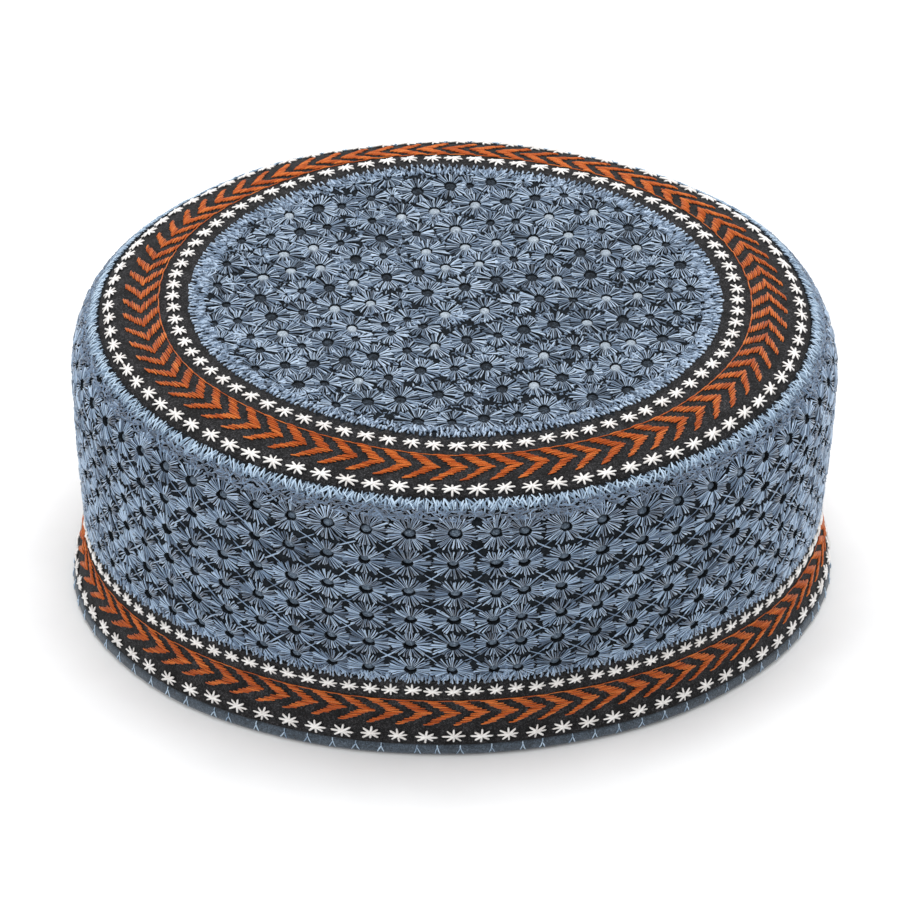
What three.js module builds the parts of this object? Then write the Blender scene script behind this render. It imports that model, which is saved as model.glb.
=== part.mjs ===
// Embroidered prayer cap: a flat round crown on an upright side wall, lined with felt.
// Millimetres, +Z up. The origin lies under the middle of the rim, which rests at z = 0.
// The cap is a little longer along X than along Y, and most so at its rim.
import * as THREE from 'three';
import { mergeGeometries, mergeVertices } from 'three/addons/utils/BufferGeometryUtils.js';

// Outer form of the cap
const BULGE_RADIUS = 97.0;
const SHOULDER_INSET = 2.7;
const SEAM_RADIUS = BULGE_RADIUS - SHOULDER_INSET;
const SEAM_HEIGHT = 72.4;
const CROWN_RISE = 7.3;
const OVAL_SHARE = 0.041;
const OVAL_FADE = 1.16;

// Cloth, lining and thread
const CLOTH_THICKNESS = 1.6;
const LINING_THICKNESS = 1.5;
const SATIN_THICKNESS = 0.6;
const SEAM_GAP = 0.3;

// Hem band and the folded rim of the lining under it
const HEM_HEIGHT = 21.3;
const RIM_HEIGHT = 2.7;
const RIM_ROUNDING = 0.7;

// Overcast edging that covers the seam between crown and wall
const EDGING_WIDTH = 3.5;
const EDGING_THICKNESS = 2.2;
const EDGING_SIDES = 8;

// Chevron borders: a thin sewn line with the arms of every chevron below it
const LINE_WIDTH = 0.6;
const CROWN_LINE_INSET = 19.2;
const CROWN_LINE_RADIUS = SEAM_RADIUS - CROWN_LINE_INSET;
const CROWN_CHEVRON_REACH = 9.2;
const CROWN_CHEVRON_COUNT = 74;
const BAND_LINE_HEIGHT = 16.0;
const BAND_CHEVRON_REACH = 7.3;
const BAND_CHEVRON_COUNT = 79;

// Flat faces around one full turn of the cap
const ROUND_STEPS = 56;

// Points closer than this are one point of a mesh
const SAME_POINT = 1e-4;

const CAP_HEIGHT = SEAM_HEIGHT + CROWN_RISE;

// Side of the cap from rim to seam: height as a share of SEAM_HEIGHT, radius of BULGE_RADIUS
const WALL_SECTIONS = [
  { place: 'rim', height: 0, radius: 0.971 },
  { place: 'lower stars', height: 0.074, radius: 0.965 },
  { place: 'upper stars', height: 0.255, radius: 0.948 },
  { place: 'waist', height: 0.332, radius: 0.957 },
  { place: 'middle', height: 0.622, radius: 0.979 },
  { place: 'upper wall', height: 0.830, radius: 0.997 },
  { place: 'bulge', height: 0.898, radius: 1 },
  { place: 'shoulder', height: 0.955, radius: 0.990 },
];

// Crown from its middle to the seam: radius as a share of SEAM_RADIUS, drop of CROWN_RISE
const CROWN_SECTIONS = [
  { place: 'middle', radius: 0, drop: 0 },
  { place: 'inner stars', radius: 0.760, drop: 0 },
  { place: 'chevrons', radius: 0.848, drop: 0.183 },
  { place: 'outer stars', radius: 0.927, drop: 0.436 },
  { place: 'seam', radius: 1, drop: 1 },
];

// Corners of one chevron: along the ring as a share of the pitch, across it of the reach
const CHEVRON_CORNERS = [
  { corner: 'arm ends on the line', along: 0.53, across: 0 },
  { corner: 'point of the bend', along: 1.31, across: 0.48 },
  { corner: 'far side of the tip', along: 0.32, across: 1 },
  { corner: 'near side of the tip', along: 0.08, across: 0.96 },
  { corner: 'inside of the bend', along: 0.78, across: 0.48 },
];

const wallRows = WALL_SECTIONS.map((row) => ({
  z: row.height * SEAM_HEIGHT,
  r: row.radius * BULGE_RADIUS,
}));
wallRows.push({ z: SEAM_HEIGHT, r: SEAM_RADIUS });

const crownRows = CROWN_SECTIONS.map((row) => ({
  r: row.radius * SEAM_RADIUS,
  z: CAP_HEIGHT - row.drop * CROWN_RISE,
}));

// Value of the column `want` at `value` of the column `by`, straight between the rows
function between(rows, by, want, value) {
  const last = rows.length - 1;
  let upper = rows.findIndex((row) => row[by] >= value);
  if (upper < 1) {
    upper = upper === 0 ? 1 : last;
  }
  const low = rows[upper - 1];
  const high = rows[upper];
  const share = (value - low[by]) / (high[by] - low[by]);
  return low[want] + share * (high[want] - low[want]);
}

// Mean outer radius of the wall at height z
function wallRadius(z) {
  return between(wallRows, 'z', 'r', z);
}

// Height of the crown's top surface at radius r
function crownHeight(r) {
  return between(crownRows, 'r', 'z', r);
}

// Point of the cap at mean radius r: the round section drawn out along X, less towards the crown
function ovalPoint(r, angle, z) {
  const fade = Math.pow(Math.max(0, 1 - z / CAP_HEIGHT), OVAL_FADE);
  const reach = r * (1 + OVAL_SHARE * fade * Math.cos(2 * angle));
  return new THREE.Vector3(reach * Math.cos(angle), reach * Math.sin(angle), z);
}

// Closed mesh with shared vertices, no flat triangles and every face pointing out
function closedSurface(geometry) {
  geometry.deleteAttribute('normal');
  geometry.deleteAttribute('uv');
  const merged = mergeVertices(geometry, SAME_POINT);
  const source = merged.index.array;
  const position = merged.attributes.position;
  const corners = [];
  for (let i = 0; i < source.length; i += 3) {
    const [a, b, c] = [source[i], source[i + 1], source[i + 2]];
    if (a !== b && b !== c && c !== a) {
      corners.push(a, b, c);
    }
  }
  let volume = 0;
  const [p, q, s] = [new THREE.Vector3(), new THREE.Vector3(), new THREE.Vector3()];
  for (let i = 0; i < corners.length; i += 3) {
    p.fromBufferAttribute(position, corners[i]);
    q.fromBufferAttribute(position, corners[i + 1]);
    s.fromBufferAttribute(position, corners[i + 2]);
    volume += p.dot(q.cross(s));
  }
  merged.setIndex(volume < 0 ? corners.reverse() : corners);
  return merged;
}

// Moves every vertex of a round geometry onto the oval plan
function drawnOval(geometry) {
  const position = geometry.attributes.position;
  for (let i = 0; i < position.count; i += 1) {
    const [x, y, z] = [position.getX(i), position.getY(i), position.getZ(i)];
    const point = ovalPoint(Math.hypot(x, y), Math.atan2(y, x), z);
    position.setXYZ(i, point.x, point.y, point.z);
  }
  return geometry;
}

// Solid of revolution from a closed section of [radius, height] points, drawn oval
function turned(section) {
  const profile = section.map(([r, z]) => new THREE.Vector2(r, z));
  profile.push(profile[0].clone());
  const lathe = new THREE.LatheGeometry(profile, ROUND_STEPS);
  lathe.rotateX(Math.PI / 2);
  return closedSurface(drawnOval(lathe));
}

// Heights from low to high, with those of the wall's sections in between
function wallHeights(low, high) {
  const inside = wallRows.map((row) => row.z).filter((z) => z > low && z < high);
  return [low, ...inside, high];
}

// Radii from the middle to the edge, with those of the crown's sections in between
function crownRadii(edge) {
  return [...crownRows.map((row) => row.r).filter((r) => r < edge), edge];
}

// Section of a wall between two heights and two depths below the outer surface
function wallSection(low, high, outerDepth, innerDepth) {
  const heights = wallHeights(low, high);
  const outside = heights.map((z) => [wallRadius(z) - outerDepth, z]);
  const inside = heights.map((z) => [wallRadius(z) - innerDepth, z]);
  return [...outside, ...inside.reverse()];
}

// Section of a round panel between two depths below the crown's top surface
function crownSection(edge, upperDepth, lowerDepth) {
  const radii = crownRadii(edge);
  const above = radii.map((r) => [r, crownHeight(r) - upperDepth]);
  const below = radii.map((r) => [r, crownHeight(r) - lowerDepth]);
  return [...above, ...below.reverse()];
}

// The edging is an oval roll that lies along the crown's slope beside the seam
const edgingSlope = Math.atan2(
  crownHeight(SEAM_RADIUS - EDGING_WIDTH) - SEAM_HEIGHT,
  EDGING_WIDTH,
);
const edgingRadius = SEAM_RADIUS - (EDGING_WIDTH * Math.cos(edgingSlope)) / 2 - SEAM_GAP;
const edgingHeight = crownHeight(edgingRadius);
const edgingBottom = edgingHeight - Math.hypot(
  (EDGING_WIDTH / 2) * Math.sin(edgingSlope),
  (EDGING_THICKNESS / 2) * Math.cos(edgingSlope),
);
const crownEdge = edgingRadius - (EDGING_WIDTH * Math.cos(edgingSlope)) / 2 - SEAM_GAP;

function edgingSection() {
  const section = [];
  for (let i = 0; i < EDGING_SIDES; i += 1) {
    const turn = (2 * Math.PI * i) / EDGING_SIDES;
    const along = (EDGING_WIDTH / 2) * Math.cos(turn);
    const across = (EDGING_THICKNESS / 2) * Math.sin(turn);
    section.push([
      edgingRadius + along * Math.cos(edgingSlope) + across * Math.sin(edgingSlope),
      edgingHeight - along * Math.sin(edgingSlope) + across * Math.cos(edgingSlope),
    ]);
  }
  return section;
}

// Depths of the lining below the outer surface
const liningFace = CLOTH_THICKNESS + SEAM_GAP;
const liningBack = liningFace + LINING_THICKNESS;

// The outer wall ends under the edging, the crown's lining inside the wall's top
const wallTop = edgingBottom - SEAM_GAP;
const crownLiningEdge = wallRadius(wallTop) - liningFace;
const wallLiningTop = crownHeight(crownLiningEdge) - liningBack - SEAM_GAP;

// The lining's lower end turns out under the hem band and rests on the ground
function wallLiningSection() {
  const heights = wallHeights(RIM_HEIGHT, wallLiningTop);
  const outside = heights.map((z) => [wallRadius(z) - liningFace, z]);
  const inside = wallHeights(0, wallLiningTop).map((z) => [wallRadius(z) - liningBack, z]);
  const fold = [
    [wallRadius(0) - RIM_ROUNDING, 0],
    [wallRadius(RIM_ROUNDING), RIM_ROUNDING],
    [wallRadius(RIM_HEIGHT), RIM_HEIGHT],
  ];
  return [...fold, ...outside, ...inside.reverse()];
}

// Point above the crown: `across` runs outwards from the sewn line, `lift` up from the cloth
function crownPoint(angle, across, lift) {
  const r = CROWN_LINE_RADIUS + across;
  return ovalPoint(r, angle, crownHeight(r) + SEAM_GAP + lift);
}

// Point before the hem band: `across` runs down from the sewn line, `lift` out from the cloth
function bandPoint(angle, across, lift) {
  const z = BAND_LINE_HEIGHT - across;
  return ovalPoint(wallRadius(z) + SEAM_GAP + lift, angle, z);
}

// One pitch of the chevron ring, drawn flat: a length of the sewn line with its chevron below
function chevronPitch(reach) {
  const edge = LINE_WIDTH / 2;
  const chevron = CHEVRON_CORNERS.map(({ along, across }) => [along, edge + across * (reach - edge)]);
  const outline = [[0, edge], [0, -edge], [1, -edge], [1, edge], ...chevron];
  const shape = new THREE.Shape(outline.map(([along, across]) => new THREE.Vector2(along, across)));
  return new THREE.ExtrudeGeometry(shape, { depth: SATIN_THICKNESS, bevelEnabled: false });
}

// Leaves out the faces where one pitch is cut from the next, so that the ring is one body
function withoutCuts(pitch) {
  const position = pitch.attributes.position;
  const kept = [];
  for (let i = 0; i < position.count; i += 3) {
    const alongs = [position.getX(i), position.getX(i + 1), position.getX(i + 2)];
    const onCut = [0, 1].some((cut) => alongs.every((along) => along === cut));
    if (!onCut) {
      kept.push(i, i + 1, i + 2);
    }
  }
  pitch.setIndex(kept);
  return pitch.toNonIndexed();
}

// Chevrons joined by the sewn line that they hang from, laid on the cloth pitch by pitch
function chevronRing(surfacePoint, count, reach) {
  const pitches = [];
  for (let i = 0; i < count; i += 1) {
    const pitch = withoutCuts(chevronPitch(reach));
    const position = pitch.attributes.position;
    for (let corner = 0; corner < position.count; corner += 1) {
      const angle = (i + position.getX(corner)) * ((2 * Math.PI) / count);
      const point = surfacePoint(angle, position.getY(corner), position.getZ(corner));
      position.setXYZ(corner, point.x, point.y, point.z);
    }
    pitches.push(pitch);
  }
  return closedSurface(mergeGeometries(pitches));
}

const FINISHES = {
  blackFelt: { color: 0x242529, roughness: 0.95, metalness: 0 },
  blueThread: { color: 0x5d7a99, roughness: 0.7, metalness: 0 },
  paleBlueThread: { color: 0x8fb2d6, roughness: 0.55, metalness: 0 },
  orangeThread: { color: 0xb5531f, roughness: 0.6, metalness: 0 },
  liningFelt: { color: 0x4a5665, roughness: 0.95, metalness: 0 },
};

function piece(name, geometry, finish) {
  const material = new THREE.MeshStandardMaterial(finish);
  material.name = name;
  geometry.computeVertexNormals();
  const mesh = new THREE.Mesh(geometry, material);
  mesh.name = name;
  return mesh;
}

const crown = new THREE.Group();
crown.add(
  piece('crown_panel', turned(crownSection(crownEdge, 0, CLOTH_THICKNESS)), FINISHES.blackFelt),
  piece('crown_lining', turned(crownSection(crownLiningEdge, liningFace, liningBack)), FINISHES.liningFelt),
  piece(
    'crown_chevrons',
    chevronRing(crownPoint, CROWN_CHEVRON_COUNT, CROWN_CHEVRON_REACH),
    FINISHES.orangeThread,
  ),
  piece('crown_edging', turned(edgingSection()), FINISHES.paleBlueThread),
);

const wall = new THREE.Group();
wall.add(
  piece(
    'side_wall',
    turned(wallSection(HEM_HEIGHT + SEAM_GAP, wallTop, 0, CLOTH_THICKNESS)),
    FINISHES.blueThread,
  ),
  piece('wall_lining', turned(wallLiningSection()), FINISHES.liningFelt),
);

const hem = new THREE.Group();
hem.add(
  piece(
    'hem_band',
    turned(wallSection(RIM_HEIGHT + SEAM_GAP, HEM_HEIGHT, 0, CLOTH_THICKNESS)),
    FINISHES.blackFelt,
  ),
  piece(
    'band_chevrons',
    chevronRing(bandPoint, BAND_CHEVRON_COUNT, BAND_CHEVRON_REACH),
    FINISHES.orangeThread,
  ),
);

const cap = new THREE.Group();
cap.add(crown, wall, hem);

export default cap;
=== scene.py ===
"""An embroidered prayer cap of black felt, blue eyelet work and coloured borders, on a pale floor.

Sizes are millimetres until a mesh is made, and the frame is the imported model's: +Z up, rim at z = 0.
"""

import logging
import math
from dataclasses import dataclass, field
from enum import Enum
from typing import Callable, Sequence

import bpy
import numpy as np
from mathutils import Matrix, Vector
from mathutils.geometry import delaunay_2d_cdt


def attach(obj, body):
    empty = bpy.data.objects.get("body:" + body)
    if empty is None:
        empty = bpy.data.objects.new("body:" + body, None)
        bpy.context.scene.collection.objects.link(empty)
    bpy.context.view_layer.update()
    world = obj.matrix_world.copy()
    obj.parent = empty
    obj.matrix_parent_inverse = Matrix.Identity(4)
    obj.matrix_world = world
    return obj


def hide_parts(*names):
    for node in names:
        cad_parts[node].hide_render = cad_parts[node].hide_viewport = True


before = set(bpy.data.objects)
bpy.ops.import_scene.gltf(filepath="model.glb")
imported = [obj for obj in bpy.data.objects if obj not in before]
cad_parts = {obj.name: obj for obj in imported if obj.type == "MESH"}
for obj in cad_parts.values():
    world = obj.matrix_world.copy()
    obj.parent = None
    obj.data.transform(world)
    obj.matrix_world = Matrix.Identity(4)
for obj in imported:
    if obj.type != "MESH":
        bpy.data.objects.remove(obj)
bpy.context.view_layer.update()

log = logging.getLogger("prayer_cap")

METRES_PER_MM = 0.001
FULL_TURN = 2.0 * math.pi

# The photograph looks at the cap from this far round from its front, and the charts count from there.
CHART_TURN = math.radians(17.07)

# Thickness of the felt and the ground cloth, and the lifts of the lining's face and back behind them
CLOTH_THICKNESS = 1.5
LINING_FACE = -1.9
LINING_BACK = -3.4

Wrap = Callable[[np.ndarray], np.ndarray]
Span = tuple[float, float]


class Slot(Enum):
    """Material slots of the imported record."""

    BLACK_FELT = "black_felt"
    LINING_FELT = "lining_felt"
    ORANGE_THREAD = "orange_thread"
    PALE_BLUE_THREAD = "pale_blue_thread"
    BLUE_THREAD = "blue_thread"
    WHITE_THREAD = "white_thread"


# Form of the cap


@dataclass(frozen=True)
class Wave:
    """Low wave of the sewn cloth: its share of the waves' height, and millimetres for a radian."""

    share: float
    along_x: float
    along_y: float
    along_z: float
    phase: float


@dataclass(frozen=True)
class CapForm:
    """Outer surface of the cap, found by the turn round it and the distance down from its middle.

    The section runs from the middle of the crown over the shoulder and down the wall, and is
    smoothed, so that the felt bends where sewn cloth bends.
    """

    bulge_radius: float = 97.0
    seam_radius: float = 94.3
    seam_height: float = 72.4
    crown_rise: float = 7.3
    oval_share: float = 0.041
    oval_fade: float = 1.16
    smoothing: float = 2.2
    step: float = 0.25
    # How far the section is worked out past the crown's middle and past the rim before it is smoothed
    beyond: float = 12.0

    # Dents of the cloth, as two crossed waves: millimetres for a radian along x and y, and phase
    wave_height: float = 0.2
    dents: tuple[Span, Span] = ((9.1, 0.7), (10.3, 1.9))
    long_waves: tuple[Wave, ...] = (
        Wave(share=0.8, along_x=17.0, along_y=13.0, along_z=9.0, phase=0.0),
        Wave(share=0.7, along_x=21.0, along_y=-15.0, along_z=7.3, phase=2.1),
    )
    # One broad swell where the crown's edge stands up a little, at the front left
    swell_height: float = 1.1
    swell_place: Span = (-66.9, -40.1)
    swell_reach: float = 20.0
    swell_foot: float = 60.0
    swell_rise: float = 15.0

    # Crown: radius as a share of the seam's, drop as a share of the crown's rise
    crown_rows: tuple[Span, ...] = (
        (0.0, 0.0),
        (0.760, 0.0),
        (0.848, 0.183),
        (0.927, 0.436),
        (1.0, 1.0),
    )
    # Wall from seam to rim: height as a share of the seam's, radius as a share of the bulge's
    wall_rows: tuple[Span, ...] = (
        (0.955, 0.990),
        (0.898, 1.0),
        (0.830, 0.997),
        (0.622, 0.979),
        (0.332, 0.957),
        (0.255, 0.948),
        (0.074, 0.965),
        (0.0, 0.971),
    )
    table: dict[str, np.ndarray] = field(default_factory=dict)

    @property
    def height(self) -> float:
        """Full height of the cap."""
        return self.seam_height + self.crown_rise

    def __post_init__(self) -> None:
        """Works out the smoothed section once, as columns of distance, radius, height and normal."""
        radii = [share * self.seam_radius for share, _ in self.crown_rows]
        heights = [self.height - drop * self.crown_rise for _, drop in self.crown_rows]
        radii += [share * self.bulge_radius for _, share in self.wall_rows]
        heights += [share * self.seam_height for share, _ in self.wall_rows]
        radii = np.array(radii)
        heights = np.array(heights)
        reach = np.concatenate([[0.0], np.cumsum(np.hypot(np.diff(radii), np.diff(heights)))])
        down = np.arange(-self.beyond, reach[-1] + self.beyond, self.step)
        radius = np.interp(np.abs(down), reach, radii) * np.sign(down + 1e-9)
        height = np.interp(np.abs(down), reach, heights)
        past = down > reach[-1]
        height[past] = -(down[past] - reach[-1])
        span = int(3 * self.smoothing / self.step)
        weights = np.exp(-0.5 * (np.arange(-span, span + 1) * self.step / self.smoothing) ** 2)
        weights /= weights.sum()
        radius = np.convolve(radius, weights, mode="same")
        height = np.convolve(height, weights, mode="same")
        kept = slice(span, len(down) - span)
        radius, height = radius[kept], height[kept]
        middle = int(np.argmin(np.abs(radius)))
        radius = radius[middle:] - radius[middle]
        height = height[middle:]
        slope = np.hypot(np.diff(radius), np.diff(height))
        distance = np.concatenate([[0.0], np.cumsum(slope)])
        rise = np.gradient(height, distance)
        spread = np.gradient(radius, distance)
        length = np.hypot(rise, spread)
        self.table.update(
            distance=distance,
            radius=radius,
            height=height,
            out=-rise / length,
            up=spread / length,
        )

    def down_at_radius(self, radius: float) -> float:
        """Distance down from the middle at a radius of the crown."""
        top = int(np.argmax(self.table["radius"]))
        return float(np.interp(radius, self.table["radius"][:top], self.table["distance"][:top]))

    def down_at_height(self, height: float) -> float:
        """Distance down from the middle at a height of the wall."""
        start = int(np.argmax(self.table["height"] < self.seam_height))
        heights = self.table["height"][start:][::-1]
        return float(np.interp(height, heights, self.table["distance"][start:][::-1]))

    def radius_at(self, down: float) -> float:
        """Mean radius of the cap at a distance down from its middle."""
        return float(np.interp(down, self.table["distance"], self.table["radius"]))

    def waves(self, points: np.ndarray) -> np.ndarray:
        """Gentle dents and swells of the sewn cloth.

        Args:
            points: rows of x, y and z on the even surface.

        Returns:
            The lift of each point.
        """
        x, y, z = points.T
        (run_x, phase_x), (run_y, phase_y) = self.dents
        lift = np.sin(x / run_x + phase_x) * np.sin(y / run_y + phase_y)
        for wave in self.long_waves:
            run = x / wave.along_x + y / wave.along_y + z / wave.along_z
            lift += wave.share * np.sin(run + wave.phase)
        away = np.hypot(x - self.swell_place[0], y - self.swell_place[1]) / self.swell_reach
        above = np.clip((z - self.swell_foot) / self.swell_rise, 0.0, 1.0)
        return self.wave_height * lift + self.swell_height * np.exp(-0.5 * away ** 2) * above

    def surface(self, turn: np.ndarray, down: np.ndarray, lift: np.ndarray) -> np.ndarray:
        """Points on or above the cap.

        Args:
            turn: angle round the cap from +X, in radians.
            down: distance down from the crown's middle.
            lift: height above the cloth.

        Returns:
            Rows of x, y and z in millimetres.
        """
        column = {name: np.interp(down, self.table["distance"], self.table[name])
                  for name in ("radius", "height", "out", "up")}
        fade = np.clip(1.0 - column["height"] / self.height, 0.0, None) ** self.oval_fade
        reach = column["radius"] * (1.0 + self.oval_share * fade * np.cos(2.0 * turn))
        even = np.stack([reach * np.cos(turn), reach * np.sin(turn), column["height"]], axis=1)
        outward = np.stack(
            [column["out"] * np.cos(turn), column["out"] * np.sin(turn), column["up"]], axis=1
        )
        return even + outward * (lift + self.waves(even))[:, None]

    def crown_wrap(self, flat: np.ndarray) -> np.ndarray:
        """Lays a drawing of the crown, seen from above and turned as the charts are, on the cap."""
        x, y, lift = flat.T
        turn = np.arctan2(y, x) - CHART_TURN
        return self.surface(turn, np.hypot(x, y), lift)

    def ring_wrap(self, line_down: float, sway: "Sway | None" = None) -> Wrap:
        """Wraps a strip drawn flat round the cap.

        Args:
            line_down: distance down from the middle at which the strip's line y = 0 lies.
            sway: how the strip strays from an even ring, if it does.

        Returns:
            A function that takes rows of x along the ring, y up towards the crown, and lift.
        """
        radius = self.radius_at(line_down)

        def wrap(flat: np.ndarray) -> np.ndarray:
            x, y, lift = flat.T
            stray = 0.0 if sway is None else sway.outward(x / radius)
            return self.surface(x / radius, line_down - y + stray, lift)

        return wrap


@dataclass(frozen=True)
class Sway:
    """How far hand-sewn work strays outwards from an even ring.

    It lies a little off the middle and is drawn out from front to back.
    """

    front: float
    right: float
    depth: float

    def outward(self, turn: np.ndarray) -> np.ndarray:
        """Shift outwards at a turn round the cap."""
        across = turn + 0.25 * FULL_TURN + CHART_TURN
        return (
            self.front * np.cos(across)
            + self.right * np.sin(across)
            + self.depth * np.cos(2.0 * across)
        )


FORM = CapForm()
# Stray of the rings round the eyelet work, and of the stars nearest the shoulder, in millimetres
CROWN_SWAY = Sway(front=0.1, right=0.1, depth=0.55)
SHOULDER_SWAY = Sway(front=0.0, right=0.0, depth=0.2)
# Height of the seam inside the shoulder, where the crown's lining meets the wall's
LINING_SEAM_HEIGHT = 69.5


# Finishes


def linear(colour: str) -> tuple[float, float, float, float]:
    """Turns a hex sRGB colour into linear red, green, blue and alpha."""
    parts = [int(colour[place:place + 2], 16) / 255.0 for place in (1, 3, 5)]
    red, green, blue = [
        part / 12.92 if part <= 0.04045 else ((part + 0.055) / 1.055) ** 2.4 for part in parts
    ]
    return (red, green, blue, 1.0)


def node(
    tree: bpy.types.NodeTree,
    kind: str,
    settings: dict[str, object] | None = None,
    inputs: dict[str | int, object] | None = None,
) -> bpy.types.Node:
    """Adds a node to a tree.

    Args:
        tree: the node tree.
        kind: the node's type.
        settings: its properties by name.
        inputs: a value or a socket to link, for each input by name or place.

    Returns:
        The node.
    """
    made = tree.nodes.new(kind)
    for name, value in (settings or {}).items():
        setattr(made, name, value)
    for key, value in (inputs or {}).items():
        if isinstance(value, bpy.types.NodeSocket):
            tree.links.new(value, made.inputs[key])
        else:
            made.inputs[key].default_value = value
    return made


def new_material(name: str) -> tuple[bpy.types.Material, bpy.types.NodeTree, bpy.types.Node]:
    """A material with an empty principled shader: the material, its tree and the shader."""
    material = bpy.data.materials.new(name)
    material.use_nodes = True
    tree = material.node_tree
    return material, tree, tree.nodes["Principled BSDF"]


def ramp(
    tree: bpy.types.NodeTree,
    factor: bpy.types.NodeSocket,
    stops: Sequence[tuple[float, str]],
) -> bpy.types.NodeSocket:
    """Colour ramp over a factor, with the colours of `stops` at their places."""
    made = node(tree, "ShaderNodeValToRGB", inputs={"Fac": factor})
    band = made.color_ramp
    while len(band.elements) < len(stops):
        band.elements.new(1.0)
    for element, (place, colour) in zip(band.elements, stops):
        element.position = place
        element.color = linear(colour)
    return made.outputs["Color"]


@dataclass(frozen=True)
class Felt:
    """Pressed wool felt: no weave, matted fibres that scatter light, with paler loose ones."""

    name: str
    deep: str
    body: str
    fibre: str
    fibre_size: float = 0.45
    mottle_size: float = 4.0
    # Matting of the fibres, share of the mottle in the tone, and where the three colours lie in it
    matting: float = 1.2
    mottle_share: float = 0.25
    tone_places: tuple[float, float, float] = (0.42, 0.62, 0.86)
    # Depth of the relief as a share of the fibre's size
    relief: float = 0.5
    bump: float = 0.35
    roughness: float = 0.95
    sheen: float = 0.25
    sheen_roughness: float = 0.6
    specular: float = 0.2

    def material(self) -> bpy.types.Material:
        """The felt's material, on Object coordinates in metres."""
        material, tree, shader = new_material(self.name)
        place = node(tree, "ShaderNodeTexCoord").outputs["Object"]
        fibre = node(
            tree,
            "ShaderNodeTexNoise",
            inputs={
                "Vector": place,
                "Scale": 1.0 / (self.fibre_size * METRES_PER_MM),
                "Detail": 3.0,
                "Distortion": self.matting,
            },
        ).outputs["Fac"]
        mottle = node(
            tree,
            "ShaderNodeTexNoise",
            inputs={"Vector": place, "Scale": 1.0 / (self.mottle_size * METRES_PER_MM)},
        ).outputs["Fac"]
        mixed = node(
            tree,
            "ShaderNodeMath",
            settings={"operation": "MULTIPLY_ADD"},
            inputs={0: mottle, 1: self.mottle_share, 2: fibre},
        ).outputs[0]
        tone = ramp(tree, mixed, list(zip(self.tone_places, (self.deep, self.body, self.fibre))))
        tree.links.new(tone, shader.inputs["Base Color"])
        bump = node(
            tree,
            "ShaderNodeBump",
            inputs={
                "Height": fibre,
                "Strength": self.bump,
                "Distance": self.relief * self.fibre_size * METRES_PER_MM,
            },
        )
        tree.links.new(bump.outputs["Normal"], shader.inputs["Normal"])
        shader.inputs["Roughness"].default_value = self.roughness
        shader.inputs["Sheen Weight"].default_value = self.sheen
        shader.inputs["Sheen Roughness"].default_value = self.sheen_roughness
        shader.inputs["Specular IOR Level"].default_value = self.specular
        return material


@dataclass(frozen=True)
class Thread:
    """Mercerised cotton thread: smooth, slightly shiny, with a fine twist and uneven dye."""

    name: str
    deep: str
    body: str
    pale: str
    roughness: float = 0.5
    sheen: float = 0.15
    twist_size: float = 0.3
    bump: float = 0.25
    # Depth of the twist as a share of its size, share of the grain in the tone, and the colours' places
    relief: float = 0.3
    grain: float = 0.3
    tone_places: tuple[float, float, float] = (0.15, 0.6, 1.0)
    specular: float = 0.5

    def material(self) -> bpy.types.Material:
        """The thread's material: its tone follows each stitch's own shade."""
        material, tree, shader = new_material(self.name)
        place = node(tree, "ShaderNodeTexCoord").outputs["Object"]
        shade = node(
            tree, "ShaderNodeAttribute", settings={"attribute_name": "shade"}
        ).outputs["Fac"]
        fibres = node(
            tree,
            "ShaderNodeTexNoise",
            inputs={
                "Vector": place,
                "Scale": 1.0 / (self.twist_size * METRES_PER_MM),
                "Detail": 1.0,
            },
        ).outputs["Fac"]
        mixed = node(
            tree,
            "ShaderNodeMath",
            settings={"operation": "MULTIPLY_ADD"},
            inputs={0: fibres, 1: self.grain, 2: shade},
        ).outputs[0]
        tone = ramp(tree, mixed, list(zip(self.tone_places, (self.deep, self.body, self.pale))))
        tree.links.new(tone, shader.inputs["Base Color"])
        bump = node(
            tree,
            "ShaderNodeBump",
            inputs={
                "Height": fibres,
                "Strength": self.bump,
                "Distance": self.relief * self.twist_size * METRES_PER_MM,
            },
        )
        tree.links.new(bump.outputs["Normal"], shader.inputs["Normal"])
        shader.inputs["Roughness"].default_value = self.roughness
        shader.inputs["Sheen Weight"].default_value = self.sheen
        shader.inputs["Specular IOR Level"].default_value = self.specular
        return material


# Cap felt: dense black wool, matt, with a few grey fibres that catch the light
CAP_FELT = Felt(
    "Pressed black wool felt",
    "#070707",
    "#151516",
    "#4b4a4d",
    fibre_size=0.38,
    sheen=0.02,
).material()
# Cloth behind the eyelet work: the same black, more worn by the needle
GROUND_CLOTH = Felt(
    "Black cotton ground cloth", "#0c0e10", "#15191d", "#2b3138", sheen=0.0, specular=0.08
).material()
# Lining felt: softer and blue-grey, with visible loft
LINING_FELT = Felt(
    "Blue-grey wool lining felt", "#222930", "#39434d", "#5f6c7a", bump=0.5
).material()
# Filling of some crown eyelets: pale blue-grey felt that shows almost white
PALE_FILLING = Felt(
    "Undyed cotton wadding", "#5d6975", "#8c99a6", "#bcc8d3", bump=0.6
).material()
# Filling of the other crown eyelets: the lining's felt painted darker, as painted shade where the lining
# lies deep in the eyelets
SHADE_PAINTED_FILLING = Felt(
    "Dark blue-grey felt filling", "#0a0d11", "#1a2027", "#4a5663", bump=0.6, sheen=0.0
).material()
# Filling of the wall's eyelets: the lining's own felt, lit from outside
WALL_FILLING = Felt(
    "Blue-grey felt filling", "#303a45", "#4e5b69", "#8593a2", bump=0.6, sheen=0.0
).material()
# Crown thread: pale dusty blue, mercerised, so that its upper side glints
CROWN_THREAD = Thread(
    "Pale blue cotton thread", "#3a4a5c", "#758ba5", "#bacde2", roughness=0.4
).material()
# Wall thread: the same dye, seen deeper as the wall faces away from the light
WALL_THREAD = Thread(
    "Dusty blue cotton thread", "#40536a", "#758eab", "#b6cde6", roughness=0.42, sheen=0.45
).material()
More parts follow.
